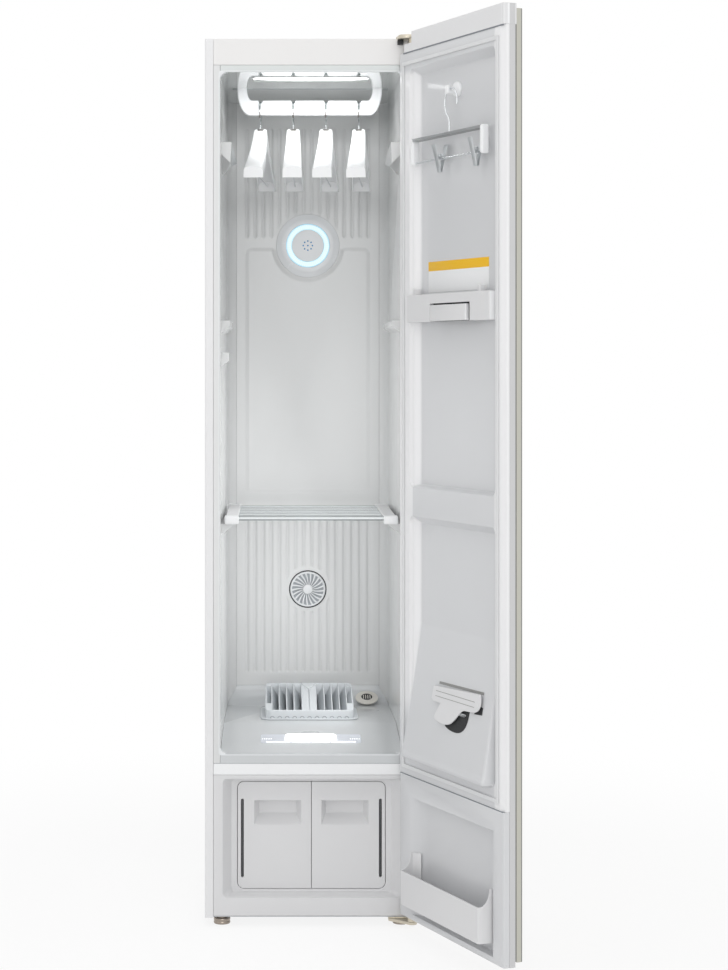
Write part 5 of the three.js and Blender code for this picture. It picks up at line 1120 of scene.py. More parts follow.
@dataclass
class Cavity:
    """Side walls, ceiling and floor of the cavity, the lip of its mouth and the ceiling's lens."""

    mouth: tuple[float, float, float] = (190.9, 360.0, 1780.5)
    corner: float = 15.0
    slots: tuple[float, float, float] = (166.0, 246.0, 1776.2)
    lens: tuple[float, float, float, float] = (0.0, 98.0, 124.0, 24.0)
    lens_power: float = 2.1
    lens_glow: float = 3.2
    ceiling_slope: float = 0.017
    nozzle: tuple[float, float, float] = (135.0, 459.5, 407.6)
    nozzle_tilt: float = math.radians(26)
    seam: tuple[float, float] = (339.5, 340.7)
    bumper_tip: float = 176.0
    bumper_levels: tuple[float, float, float] = (1583.0, 1603.0, 1645.0)
    bumper_ends: tuple[tuple[float, float, float, float, float], ...] = (
        (60.0, 2.0, 168.0, 1615.5, 1641.5), (150.0, 3.0, 158.0, 1577.0, 1602.0))

    def bumpers(self, points: Array) -> Array:
        """Draws the bumpers under the bar into wedges that widen towards the back and below.

        Args:
            points: The wall's points. Those of a bumper lie at one of three levels and near one of
                the two depths that begin a row of bumper_ends, after which come the reach and the
                lower and upper level that they get.

        Returns:
            The points with the bumpers' own moved.
        """
        x, y, z = points.T
        base, middle, top = self.bumper_levels
        low, high = (np.abs(z - base) < 2) | (np.abs(z - middle) < 2), np.abs(z - top) < 2
        tip = np.abs(x) < self.bumper_tip
        reach, level = np.abs(x), z
        for depth, margin, out, bottom, crest in self.bumper_ends:
            there = np.abs(y - depth) < margin
            reach = np.where(tip & there & (low | high), out, reach)
            level = np.where(there & low, bottom, np.where(there & high, crest, level))
        return np.stack([np.sign(x) * reach, y, level], axis=-1)

    def lip(self) -> Surface:
        """The mouth's rolled lip: outlines whose corners grow rounder from the flange inwards."""
        half, low, high = self.mouth
        own = self.corner
        rings = []
        for out, depth, corner in ((3.2, 3.0, 4.0), (3.2, -0.1, 4.0), (1.6, -0.15, own), (0.6, 0.35, own),
                                   (0.1, 1.4, own), (0.0, 3.0, own), (-0.3, 12.0, own)):
            flat = rounded(half + out, (high - low) / 2 + out, corner + min(out, 1.6), 8)
            rings.append(np.stack([flat[:, 0], np.full(len(flat), depth), flat[:, 1] + (high + low) / 2], axis=-1))
        return tube(np.stack(rings), closed=True)

    def ceiling_lens(self, level: float) -> Surface:
        """The ceiling's lens: a flat pad whose outline is |x / a| ^ 2.1 + |y / b| ^ 2.1 = 1."""
        x, y, half_x, half_y = self.lens
        flat = circle(1, 96)
        flat = np.sign(flat) * np.abs(flat) ** (2 / self.lens_power)
        rings = []
        for share, rise in ((0.98, 4.0), (1.0, 1.9), (0.985, 1.5), (0.95, 1.2), (0.8, 1.1)):
            rings.append(np.column_stack([x + flat[:, 0] * half_x * share, y + flat[:, 1] * half_y * share,
                                          level + rise - self.ceiling_slope * flat[:, 1] * half_y]))
        return tube(np.stack(rings))

    def build(self, shop: Workshop) -> None:
        """Makes and dresses the pieces."""
        for node in ("cavity_left_wall", "cavity_right_wall"):
            shop.soften(node, LINER, 0.9, moved=self.bumpers)
        shop.soften("cavity_ceiling", CEILING, 0.8)
        shop.soften("cavity_floor", FLOOR, 1.2)
        shop.make("cavity_mouth_lip", self.lip(), FITTING, "cabinet")
        # Painted shade: a grey strip in the seam along the crossbar.
        seam = block((-204, 0.2, self.seam[0]), (204, 2.5, self.seam[1]), 0.2, 1)
        shop.make("crossbar_seam", seam, SHADE_GREY, "cabinet")
        low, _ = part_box("ceiling_lamp_lens")
        middle = shop.body((*self.lens[:2], 0.0)) / METRE
        lamp = Glow("ceiling_lens_lit", Slot.LAMP_LENS, (255, 255, 255), 0.3, centre=tuple(middle),
                    strength=self.lens_glow, half=(150.0, 60.0))
        lens = self.ceiling_lens(low.z / METRE + 0.3)
        shop.make("ceiling_lamp_lens_lit", lens, lamp, "cabinet", ["ceiling_lamp_lens"])
        shop.soften("steam_nozzle", BEIGE, 0.8)
        slats = [block((-7.6 + 5 * k - 0.9, -7.4, -0.4), (-7.6 + 5 * k + 0.9, 7.4, 0.5), 0.3, 2) for k in range(4)]
        # Painted shade: a dark disc in the nozzle's mouth, under the beige slats.
        mouth = turned([(0.3, -0.6), (10.4, -0.6), (12.4, 0.1), (0.3, 0.2)], (0, 0, 0), UP, 40)
        shop.make("steam_nozzle_mouth", mouth.placed(self.tilted), SHADOW, "cabinet")
        shop.make("steam_nozzle_slats", [slat.placed(self.tilted) for slat in slats], BEIGE, "cabinet")
        # Painted shade: a grey line and two round ends for the shade in the ceiling's slot.
        reach, depth, level = self.slots
        ends = [turned([(POLE, -1.0), (1.9, -1.0), (1.9, 0.5), (POLE, 0.7)], (side * reach, depth, level),
                       (0, 0, -1), 20) for side in (-1, 1)]
        line = block((2 - reach, depth - 0.6, level - 0.35), (reach - 2, depth + 0.6, level + 0.5), 0.1, 1)
        shop.make("cavity_ceiling_seam", [line] + ends, SHADE_GREY, "cabinet")

    def tilted(self, points: Array) -> Array:
        """Carries points of the nozzle's mouth to its place: tilted about X and raised."""
        turn_cos, turn_sin = math.cos(self.nozzle_tilt), math.sin(self.nozzle_tilt)
        x, y, z = points.T
        return np.stack([self.nozzle[0] + x, self.nozzle[1] + y * turn_cos - z * turn_sin,
                         self.nozzle[2] + y * turn_sin + z * turn_cos], axis=-1)


@dataclass
class FloorLamp:
    """The lamp in the cavity's floor: a grey housing, a bright centre and a lit front line."""

    half: float = 107.0
    front: float = 76.0
    back: float = 129.0
    centre_half: float = 55.5
    centre_front: float = 89.0
    slope: tuple[float, float, float, float] = (20.0, 185.0, 360.3, 29.7)
    glow: float = 0.95
    line_ends: ClassVar[list[tuple[float, float]]] = [(-95.0, -43.2), (-41.6, -0.8), (0.8, 40.4), (42.0, 95.0)]

    def level(self, points: Array) -> Array:
        """Height of the floor's slope at the points' depths."""
        start, run, low, rise = self.slope
        return low + (points[:, 1] - start) * rise / run

    def pad(self, outline: Array, rise: float, radius: float) -> Surface:
        """A pad with that outline that follows the slope, from 4 mm under it."""
        return plate(outline, -4.0, rise, radius).placed(lifted(2, self.level))

    def build(self, shop: Workshop) -> None:
        """Makes and dresses the housing, the lens, the front line and the dashes."""
        middle = (self.front + self.back) / 2
        shape = rounded(self.half, (self.back - self.front) / 2, 6.0, 6) + np.array([0, middle])
        shop.make("floor_lamp_housing", self.pad(shape, 0.9, 0.7), LAMP_GREY, "cabinet", ["floor_lamp_lens"])
        half, top = self.centre_half, self.back + 1
        edge = eased([[-half, self.centre_front], [-half, top - 17], [2 - half, top], [20 - half, top], [0, top]])
        shape = np.concatenate([edge, (edge * np.array([-1, 1]))[::-1][1:]])
        at = shop.body((0.0, middle, 0.0)) / METRE
        lit = Glow("floor_lens_lit", Slot.LAMP_LENS, (255, 255, 255), 0.25, centre=tuple(at), strength=self.glow,
                   half=(150.0, 90.0))
        line = []
        for start, stop in self.line_ends:
            outline = rounded((stop - start) / 2, 2.3, 1.0, 4) + np.array([(start + stop) / 2, self.front + 4.2])
            line.append(self.pad(outline, 1.5, 0.4))
        dashes = [self.pad(rounded(1.3, 1.6, 0.5, 3) + np.array([side * (84.5 + 4.6 * k), 99.0]), 1.2, 0.3)
                  for side in (-1, 1) for k in range(5)]
        shop.make("floor_lamp_lens_lit", [self.pad(shape, 1.9, 0.9)] + line + dashes, lit, "cabinet")


@dataclass
class LintFilter:
    """The lint filter cassette: a flange, a wall, louvres between thin fins, a middle piece and pockets."""

    half: float = 98.0
    front: float = 250.0
    back: float = 400.0
    floor: float = 390.5
    low: float = 410.0
    high: float = 449.0
    middle_half: float = 17.3
    pitch: float = 16.5
    louvres: int = 4
    root: float = -40.0
    flange: tuple[float, float, float] = (108.0, 84.0, 24.0)
    flange_levels: tuple[float, float] = (390.3, 393.3)
    arch: tuple[float, float, float] = (4.4, 4.6, 392.6)

    def crest(self, y: Array) -> Array:
        """Height of the sloping top at a depth."""
        return self.low + (self.high - self.low) * np.clip((y - self.front) / (self.back - self.front), 0, 1)

    def along(self, section: Sequence[tuple[float, float]], start: float, stop: float) -> Surface:
        """Draws a section of (x, distance under the top) along the slope, never below the flange."""
        shape = np.array(section, float)
        y = np.linspace(start, stop, 7)
        z = np.maximum(self.crest(y)[:, None] + shape[None, :, 1], self.floor + 0.4)
        x, y = np.broadcast_to(shape[:, 0], z.shape), np.broadcast_to(y[:, None], z.shape)
        return tube(np.stack([x, y, z], axis=-1))

    def wall(self) -> Surface:
        """The wall: a loop round the block whose top follows the slope with a round edge."""
        depth = (self.back - self.front) / 2
        middle = np.array([0, (self.front + self.back) / 2])
        levels = []
        for inset, rise, tied in ((0.0, 0.0, False), (0.0, -2.5, True), (0.5, -0.9, True), (1.6, 0.0, True),
                                  (3.4, 0.0, True), (3.6, -1.5, True), (3.6, 0.0, False)):
            flat = rounded(self.half - inset, depth - inset, 15.0 - inset, 9) + middle
            z = self.crest(flat[:, 1]) + rise if tied else np.full(len(flat), self.floor)
            levels.append(np.column_stack([flat, z]))
        return tube(np.stack(levels), closed=True)

    def louvre(self, side: int, number: int) -> Surface:
        """A thin fin with a face that falls away from it towards the middle."""
        inner = self.middle_half + self.pitch * number
        outer = inner + self.pitch
        section = [(outer - 0.9, 0), (outer + 0.9, 0), (outer + 0.9, self.root), (inner + 3.4, self.root),
                   (inner + 3.4, -27), (outer - 0.9, -4.5)]
        return self.along([(side * x, z) for x, z in section], self.front + 3.2, self.back - 2)

    def vent(self, x: float) -> Surface:
        """A dark rim of a small arch at the foot of the front wall: painted shade for a vent opening."""
        half, rise, low = self.arch
        angle, depth = np.linspace(0, np.pi, 11), np.full(11, self.front - 0.1)
        path = np.stack([x + half * np.cos(angle), depth, low + rise * np.sin(angle)], axis=-1)
        return swept(path, rounded(0.45, 0.45, 0.2, 2), BACK)

    def build(self, shop: Workshop) -> None:
        """Makes and dresses the cassette."""
        front, back, root = self.front, self.back, self.root
        base = plate(rounded(*self.flange, 9) + np.array([0, (front + back) / 2]), *self.flange_levels, 1.0)
        m = self.middle_half - 0.6
        spine = self.along([(-m, -1.2), (-1.2, -0.6), (-1.0, -3.4), (1.0, -3.4), (1.2, -0.6), (m, -1.2), (m, root),
                            (-m, root)], front + 3.2, back - 2)
        facet = plate(np.array([[-m, back - 5], [m, back - 5], [1.5, back - 34], [-1.5, back - 34]]), -2.0, 1.4, 0.5)
        shell = [base, self.wall(), spine, facet.placed(lifted(2, lambda points: self.crest(points[:, 1])))]
        inner, outer = self.middle_half + self.louvres * self.pitch + 0.8, self.half - 3
        for side in (-1, 1):
            shell += [self.louvre(side, k) for k in range(self.louvres)]
            strip = [(side * inner, -0.8), (side * outer, -0.8), (side * outer, root), (side * inner, root)]
            shell.append(self.along(strip, front + 3.2, front + 40))
            shell.append(self.along(strip, back - 16, back - 2))
            pocket = [(side * (inner + 0.2), -24), (side * outer, -7), (side * outer, root),
                      (side * (inner + 0.2), root)]
            shell.append(self.along(pocket, front + 39, back - 15))
        body = "filter_cassette"
        shop.make("filter_cassette_louvred", shell, FILTER_GREY, body, [body], angle=30)
        # Painted shade: dark arch rims for the vent openings.
        shop.make("filter_cassette_vents", [self.vent(16.4 * k) for k in range(-5, 6)], SHADE_GREY, body)


@dataclass
class Shelf:
    """The slatted shelf: two rails with white caps and eight plated rods."""

    inner: float = 152.5
    outer: float = 182.5
    front: float = 40.0
    back: float = 440.0
    low: float = 835.0
    high: float = 853.0
    rod_height: float = 847.1
    rod_radius: tuple[float, float] = (4.8, 2.5)
    rods: int = 8

    def build(self, shop: Workshop) -> None:
        """Makes and dresses rails, caps and rods."""
        rails, caps = [], []
        for side in (-1, 1):
            near, far = paired(side, self.inner + 1.5, self.outer - 2.5)
            rails.append(block((near, self.front + 16, self.low + 1), (far, self.back - 12, self.high - 1.5), 2.0))
            near, far = paired(side, self.inner, self.outer)
            caps.append(block((near, self.front, self.low), (far, self.front + 26, self.high), 3.2))
            caps.append(block((near, self.back - 18, self.low + 1), (far, self.back, self.high - 0.5), 2.4))
        reach, level = self.inner + 8, self.rod_height
        y = np.linspace(self.front + 9.9, self.back - 20.1, self.rods)
        rods = [rod((-reach, place, level), (reach, place, level), circle(self.rod_radius[min(k, 1)], 28), UP)
                for k, place in enumerate(y)]
        shop.make("shelf_rods", rods, ROD, "shelf", ["shelf"])
        shop.make("shelf_rails", rails, GREY, "shelf")
        shop.make("shelf_caps", caps, WHITE, "shelf")


@dataclass
class HangerRail:
    """The moving bar, its drive, and four wire hooks with their hangers."""

    places: tuple[float, ...] = (-108.0, -36.0, 36.0, 108.0)
    yaws: tuple[float, ...] = (-4.3, -1.2, -4.1, -4.2)
    depth: float = 245.0
    hook_centre: float = 1729.0
    hook_radius: float = 17.0
    wire: float = 1.75
    half: float = 190.0
    top: float = 1688.0
    drop: float = 98.0
    bar_top: float = 1784.0
    bar_corner: float = 1776.0
    bar_low: float = 1750.0
    bar_half: float = 10.0
    rod_height: float = 1577.0
    section: float = 24.0
    shank: ClassVar[list[list[float]]] = [[0, 17.0, 1720.5], [0, 13.6, 1709], [0, 4.5, 1704], [0, 0, 1696],
                                          [0, 0, 1685], [0, 0, 1674.5]]

    def turn(self, place: int) -> Callable[[Array], Array]:
        """Carries points from a hanger's own axes to the cabinet's."""
        yaw = math.radians(self.yaws[place])
        spin = np.array([[math.cos(yaw), -math.sin(yaw), 0], [math.sin(yaw), math.cos(yaw), 0], [0, 0, 1]])
        return lambda points: points @ spin.T + np.array([self.places[place], self.depth, 0])

    def bar(self) -> Surface:
        """The bar: arms that run down in elliptical corners, and small notches for the hooks."""
        turn = np.linspace(0, np.pi / 2, 13)
        top, start = self.bar_top, self.bar_corner
        outer = np.stack([131.8 + 27 * np.cos(turn), start - 58 * np.sin(turn)], axis=-1)
        inner = np.stack([126 + 12 * np.cos(turn), start - 26 * np.sin(turn)], axis=-1)
        notches = np.array([[x + a, self.bar_low + b] for x in sorted(self.places, reverse=True)
                            for a, b in ((5.6, 0), (2.0, -6.3), (-2.0, -6.3), (-5.6, 0))])
        flip = np.array([-1, 1])
        outline = np.concatenate([[[158.8, top]], outer, (outer * flip)[::-1], [[-158.8, top]], [[-138, top]],
                                  inner * flip, notches[::-1], inner[::-1], [[138, top]]])
        return plate(outline, self.depth - self.bar_half, self.depth + self.bar_half, 2.2, (0, 2, 1))

    def arc(self, start: float, stop: float, count: int) -> Array:
        """Points of the hook's circle between two angles in degrees, from the front over the top."""
        angle = np.radians(np.linspace(start, stop, count))
        return np.stack([np.zeros(count), self.hook_radius * np.cos(angle),
                         self.hook_centre + self.hook_radius * np.sin(angle)], axis=-1)

    def ball(self) -> tuple[float, float, float]:
        """Centre of the ball at the hook's end."""
        return 0.0, -self.hook_radius, self.hook_centre - 3

    def hook(self) -> Surface:
        """The hook: half a circle over the bar, a bend back to the middle and a straight shank."""
        r, over = self.hook_radius, self.arc(182, 0, 28)
        bend = eased(np.concatenate([over[-1:], self.shank]))
        path = np.concatenate([[self.ball()], over[:-1], bend])
        thick = self.wire + 0.75 * smooth(-r - 1, -r + 4, path[:, 1]) * (1 - smooth(-4, 6, path[:, 1]))
        return swept(path, circle(1, 16)[None] * thick[:, None, None], ACROSS)

    def sleeve(self) -> Surface:
        """A grey tube over the hook's front leg, from over the ball to the bar's top, that makes that leg look
        darker than the rest of the wire.
        """
        thick = np.linspace(1.95, 2.75, 12)
        return swept(self.arc(178, 112, 12), circle(1, 16)[None] * thick[:, None, None], ACROSS)

    def tip(self) -> Surface:
        """The white ball at the hook's end."""
        profile = [(0.1, -2.6), (1.3, -2.25), (2.25, -1.3), (2.6, 0), (2.25, 1.3), (1.3, 2.25), (0.1, 2.6)]
        return turned(profile, self.ball(), UP, 20)

    def dark_parts(self) -> list[Surface]:
        """The dark end under the ball, and a dark ring at the hanger's top painted as the shade in the gaps beside
        the hook.
        """
        end = turned([(0.3, -14.5), (1.5, -14.5), (1.9, -13.2), (1.9, -10.0), (1.3, -9.2), (1.3, -2.4), (0.3, -2.4)],
                     self.ball(), UP, 20)
        shade_ring = turned([(0.4, -4.0), (7.4, -4.0), (7.8, -3.2), (7.8, -1.6), (7.0, -1.0), (2.2, -0.4), (2.2, 1.8),
                         (0.4, 2.2)], (0, 0, self.top + 0.2), UP, 28)
        return [end, shade_ring]

    def hanger(self) -> Surface:
        """The hanger: a shell open below, whose width, thickness and top change along its length.

        At a share s of its half length the half width is 14 + 6.3 s ^ 0.75, the section is 24 high, and
        the top falls by (s squared + 0.0005) ^ 0.3, steep beside the hook and flatter at the ends. A
        section is a low crown over nearly upright sides; the end rows run down to the rim.

        Returns:
            The closed surface in the hanger's own axes.
        """
        middle = np.linspace(-1, 1, 61)
        share = np.concatenate([[-1.0, -1.0], middle, [1.0, 1.0]])
        s = np.abs(share)
        half, thick = 14 + 6.3 * s ** 0.75, np.full_like(s, self.section)
        ends = (0.0005 ** 0.3, 1.0005 ** 0.3)
        top = self.top - self.drop * ((s * s + 0.0005) ** 0.3 - ends[0]) / (ends[1] - ends[0])
        angle = np.linspace(0, np.pi, 23)
        side = np.array([1.035, 1.03, 1.012])
        bow = np.sign(np.cos(angle)) * np.abs(np.cos(angle)) ** (0.42 + 0.5 * s[:, None] ** 3)
        x = np.concatenate([np.tile(side, (len(s), 1)), bow, np.tile(-side[::-1], (len(s), 1))], axis=1)
        down = np.concatenate([[1.0, 0.94, 0.5], np.zeros(23), [0.5, 0.94, 1.0]])
        up = np.concatenate([np.zeros(3), np.sin(angle) ** 0.75, np.zeros(3)])
        grids = []
        for inset in (0.0, 2.4):
            crown = 4.6 + 5.0 * s ** 3
            width = (half - inset)[:, None] * x
            z = (top - inset - crown)[:, None] + crown[:, None] * up[None]
            z = z - (thick - crown - inset)[:, None] * down[None]
            y = np.broadcast_to((share * (self.half - inset))[:, None], z.shape).copy()
            rim = (top - thick)[[0, -1]]
            z[0], z[-1] = rim[0], rim[1]
            z[1], z[-2] = z[1] * 0.05 + rim[0] * 0.95, z[-2] * 0.05 + rim[1] * 0.95
            for row, sign in ((2, -1), (-3, 1)):
                y[row] = sign * (self.half - inset - 0.64)
                z[row] = z[row] - 0.5 * up * (inset == 0)
            grids.append(np.stack([width, y, z], axis=-1))
        return sheet(grids[0], grids[1])

    def trouser_rod(self) -> Surface:
        """The thin rod under a hanger, from the underside of one arm to that of the other."""
        reach = self.half - 4
        return rod((2, -reach, self.rod_height), (2, reach, self.rod_height), circle(1.3, 12), ACROSS)

    def build(self, shop: Workshop) -> None:
        """Makes and dresses the bar, its drive, the hooks and the hangers."""
        shop.soften("hanger_bar", BAR_WHITE, 0.4, above=self.bar_top - 1)
        shop.make("hanger_bar_bow", self.bar(), BAR_WHITE, "hanger_bar", angle=30)
        shop.soften("bar_rocker", GREY, 0.4)
        shop.soften("bar_motor", STEEL, 0.4)
        for k in range(len(self.places)):
            hook, hanger = f"hanger_hook_{k + 1}", f"hanger_{k + 1}"
            for name, parts, finish, body, nodes in (
                    (f"{hook}_bent", [self.hook()], CHROME, hook, [hook]),
                    (f"{hook}_tip", [self.tip()], WHITE, hook, []),
                    (f"{hook}_sleeve", [self.sleeve()], GREY_LEG, hook, []),
                    (f"{hook}_collar", self.dark_parts(), STEEL, hook, []),
                    (f"{hanger}_moulded", [self.hanger()], WHITE, hanger, [hanger]),
                    (f"{hanger}_rod", [self.trouser_rod()], SPRING_STEEL, hanger, [])):
                shop.make(name, [part.placed(self.turn(k)) for part in parts], finish, body, nodes)


@dataclass
class WaterTanks:
    """Lower front frame, the two tanks with their level windows, and the machine parts behind."""

    window: tuple[float, float, float, float, float, float] = (142.3, 147.5, 35.4, 45.2, 95.0, 259.2)

    def build(self, shop: Workshop) -> None:
        """Makes and dresses the pieces."""
        shop.soften("lower_front_frame", GREY, 1.6, 3)
        inner, outer, front, back, low, high = self.window
        for side, name in ((-1, "supply_tank"), (1, "drain_tank")):
            shop.soften(f"{name}_front", GREY, 0.7)
            shop.soften(name, TANK, 0.5)
            near, far = paired(side, inner, outer)
            shop.make(f"{name}_level_window", block((near, front, low), (far, back, high), 2.3), DARK, name)
        for node, finish, width in (("tank_bay", GALVANISED, 0.3), ("steam_generator", STEEL, 0.8),
                                    ("heat_pump", MACHINE, 0.5)):
            shop.soften(node, finish, width)


@dataclass
class DoorLiner:
    """The upper liner: two recesses with sloping walls, beads round them, and the bulge below."""

    upper: tuple[float, float, float, float] = (33.0, 395.0, 921.0, 1778.0)
    lower: tuple[float, float, float, float] = (33.0, 395.0, 368.0, 861.0)
    corner: float = 14.0
    face: float = 21.0
    floor: float = -0.1
    back: float = 8.5
    free: float = 4.5
    bulge: tuple[tuple[float, float], ...] = ((366.0, 36.0), (370.0, 44.0), (376.0, 46.0), (384.0, 42.5),
                                              (400.0, 39.8), (640.0, -0.1))
    bulge_sides: tuple[float, float, float, float] = (35.0, 43.0, 384.0, 392.5)
    skin: float = 2.5
    lip: tuple[float, float] = (1.6, 2.2)
    coarse: tuple[float, float] = (16.0, 18.0)
    fine_u: ClassVar[list[tuple[float, float, float]]] = [(14, 48, 1.5), (380, 413, 1.5)]
    fine_z: ClassVar[list[tuple[float, float, float]]] = [(340, 412, 1.6), (634, 646, 3), (845, 878, 1.6),
                                                          (905, 938, 1.6), (1762, 1800, 1.6)]

    def fall(self, u: Array, z: Array, box: tuple[float, float, float, float]) -> Array:
        """Share of a recess's depth: a stepped wall at the hinge side, a plane above, steep elsewhere."""
        left, right, low, high = box
        walls = [0.3 * smooth(-1.0, 2.4, u - left) + 0.7 * smooth(4.5, 15.0, u - left),
                 smooth(-0.4, 2.4, right - u), smooth(-0.5, 6.0, z - low),
                 0.12 * smooth(-0.6, 2.0, high - z) + 0.88 * np.clip((high - z - 0.5) / 13.5, 0, 1) ** 1.1,
                 smooth(-0.5, 3.0, inside(u, z, box, self.corner))]
        return np.minimum.reduce(walls)

    def height(self, u: Array, z: Array) -> Array:
        """The face's v: the frame's plane, less a smooth fall into each recess, or the bulge if higher.

        Args:
            u: Distances from the pins.
            z: Heights.

        Returns:
            v at each point.
        """
        fall = np.maximum(self.fall(u, z, self.upper), self.fall(u, z, self.lower))
        heights, rises = (np.array(values) for values in zip(*self.bulge))
        rise = np.interp(z, heights, rises, left=self.floor, right=self.floor)
        start, full, end, none = self.bulge_sides
        floor = np.maximum(self.floor, rise * smooth(start, full, u) * (1 - smooth(end, none, u)))
        inner = inside(u, z, self.lower, self.corner) > 0
        return np.where(inner & (floor > self.face), floor, self.face + (floor - self.face) * fall)

    def build(self, shop: Workshop) -> None:
        """Makes and dresses the liner."""
        low, high = shop.on_door("door_liner_upper")
        u = graded((float(low[0]), float(high[0])), self.coarse[0], self.fine_u)
        z = graded((float(low[2]), float(high[2])), self.coarse[1], self.fine_z)
        grid_z, grid_u = np.meshgrid(z, u, indexing="ij")
        v = self.height(grid_u, grid_z)
        edge = np.minimum.reduce([grid_u - low[0], high[0] - grid_u, grid_z - low[2], high[2] - grid_z])
        v = v - self.lip[0] * (1 - smooth(0, self.lip[1], edge))
        free = np.clip(high[0] - grid_u, 0, self.free)
        v = v - self.free + np.sqrt(np.maximum(self.free ** 2 - (self.free - free) ** 2, 0))
        front = np.stack([grid_u, v, grid_z], axis=-1)
        back = np.stack([grid_u, np.minimum(v - self.skin, self.back), grid_z], axis=-1)
        pin = shop.door(np.zeros(3))
        along = (shop.door(np.array([1.0, 0.0, 0.0])) - pin) / METRE
        # The liner's colour carries painted light on its flange and painted shade in its hollows.
        lit_and_shaded = DoorTone(**vars(DOOR) | {"name": "door_liner_two_tone", "pin": tuple(pin[:2].tolist()),
                                         "axis": tuple(along[:2].tolist())})
        shop.make("door_liner_upper_moulded", sheet(front, back), lit_and_shaded, "door", ["door_liner_upper"], door=True,
                  angle=70)


@dataclass
class Presser:
    """The trouser presser: a bar with a pocket, and the lever in it."""

    left: float = 38.0
    right: float = 388.0
    low: float = 1257.0
    high: float = 1313.0
    front: float = 30.0
    back: float = 4.0
    slot: tuple[float, float, float] = (138.0, 309.0, 1293.6)
    lugs: tuple[float, float] = (46.0, 323.0)
    lever: float = 294.0

    def build(self, shop: Workshop) -> None:
        """Makes and dresses bar, pocket, lugs, lever, painted shade in the pocket and painted light on the ends of
        bar and lever.
        """
        start, stop, top = self.slot
        outline = np.array([[self.left, self.low], [start, self.low], [start, top], [stop, top], [stop, self.low],
                            [self.right, self.low], [self.right, self.high], [self.left, self.high]])
        parts = [plate(outline, self.back, self.front, 1.5, (0, 2, 1))]
        parts += [block((u, 7, self.high - 3), (u + 11, 20, self.high + 12.5), 1.6) for u in self.lugs]
        shop.make("presser_bar_moulded", parts, DOOR_FITTING, "door", ["presser_bar"], door=True)
        # Painted shade: a dark block in the pocket behind the lever.
        shop.box("presser_bar_pocket", (start - 3, self.back + 1, self.low + 1.5), (stop + 3, 20.5, top + 3), 0.5,
                 SHADOW)
        # Painted light: a white plate on the bar's end face.
        shop.box("presser_bar_tip", (self.right - 3, 7, self.low + 1.5),
                 (self.right + 0.05, self.front - 1.5, self.high - 1.5), 0.5, WHITE)
        low, high = shop.on_door("presser_lever")
        lever = block(low, (self.lever, high[1], high[2]), 0.9)
        shop.make("presser_lever_moulded", lever, DOOR_FITTING, "presser_lever", ["presser_lever"], door=True)
        # Painted light: a white strip on the lever's end face.
        shop.box("presser_lever_end", (self.lever - 4, high[1] - 7.5, low[2] + 0.4),
                 (self.lever + 0.15, high[1] + 0.1, high[2] - 0.4), 0.6, WHITE, "presser_lever")


@dataclass
class HemClamp:
    """The hem clamp on the bulge: a flap with dark lines painted as the shade of its grooves, a curved tongue over a
    dark patch of painted shade for its opening, and a spring.
    """

    slope: tuple[float, float, float, float] = (640.0, 240.0, -0.1, 39.9)
    out: float = 4.0
    thick: float = 3.4
    line_levels: tuple[float, float] = (510.5, 520.5)
    line_ends: tuple[float, float] = (164.0, 326.0)
    tongue: ClassVar[list[list[float]]] = [[288, 498], [276, 495], [258, 478], [240, 465], [222, 461], [196, 461],
                                           [166, 466], [176, 484], [188, 499]]
    corner: ClassVar[list[list[float]]] = [[347, 524], [347, 513], [340, 504], [326, 500]]
    head: ClassVar[list[list[float]]] = [[150, 529], [342, 537]]
    tail: ClassVar[list[list[float]]] = [[156, 499], [148, 504]]
    hole: ClassVar[list[list[float]]] = [[300, 503], [298, 478], [288, 460], [266, 450], [228, 451], [200, 459],
                                         [212, 503]]
    gap: ClassVar[list[list[float]]] = [[318, 496], [349, 498], [349, 512], [326, 514]]
    shade: ClassVar[list[list[float]]] = [[160, 533], [345, 536], [345, 541], [160, 538]]

    def on_slope(self, surface: Surface, out: float) -> Surface:
        """Carries a surface given as (u, distance out of the slope, z) onto the bulge's slope."""
        top, run, low, rise = self.slope
        return surface.placed(lifted(1, lambda points: low + rise * (top - points[:, 2]) / run + out))

    def patch(self, outline: Sequence[Sequence[float]]) -> Surface:
        """A thin plate of that outline, just out of the slope."""
        return self.on_slope(plate(np.asarray(outline, float), 0.0, 0.5, 0.1, (0, 2, 1)), 0.2)

    def spring(self) -> Surface:
        """The spring in the opening: a helix of six turns along u."""
        turn = np.linspace(0, 12 * math.pi, 97)
        coil = np.stack([262 + 26 * turn / turn[-1], 3.0 + 2.2 * np.cos(turn), 488 + 2.6 * np.sin(turn)], axis=-1)
        return self.on_slope(swept(coil, circle(0.6, 8), ACROSS), 0.4)

    def build(self, shop: Workshop) -> None:
        """Makes and dresses flap, the painted shade of its grooves, opening and top edge, and spring."""
        outline = np.concatenate([self.head, eased(self.corner, 2), eased(self.tongue, 2), self.tail])
        flap = self.on_slope(plate(outline, 0.0, self.thick, 1.1, (0, 2, 1)), self.out)
        shop.make("hem_clamp_moulded", flap, DOOR_FITTING, "hem_clamp", ["hem_clamp"], door=True)
        # Painted shade: thin dark rods for the grooves, dark patches for the opening and the corner gap, and a dark
        # strip under the flap's top edge.
        level, (start, stop) = self.thick + 0.05, self.line_ends
        lines = [self.on_slope(rod((start, level, z), (stop, level, z), rounded(0.5, 0.35, 0.1, 2), UP), self.out)
                 for z in self.line_levels]
        for name, parts, finish, body in (
                ("hem_clamp_lines", lines, SEAM_SHADE, "hem_clamp"),
                ("hem_clamp_opening", [self.patch(eased(self.hole, 2)), self.patch(self.gap)], SHADOW, "door"),
                ("hem_clamp_shade", self.patch(self.shade), SEAM_SHADE, "door"),
                ("hem_clamp_spring", self.spring(), SPRING_STEEL, "door")):
            shop.make(name, parts, finish, body, door=True)


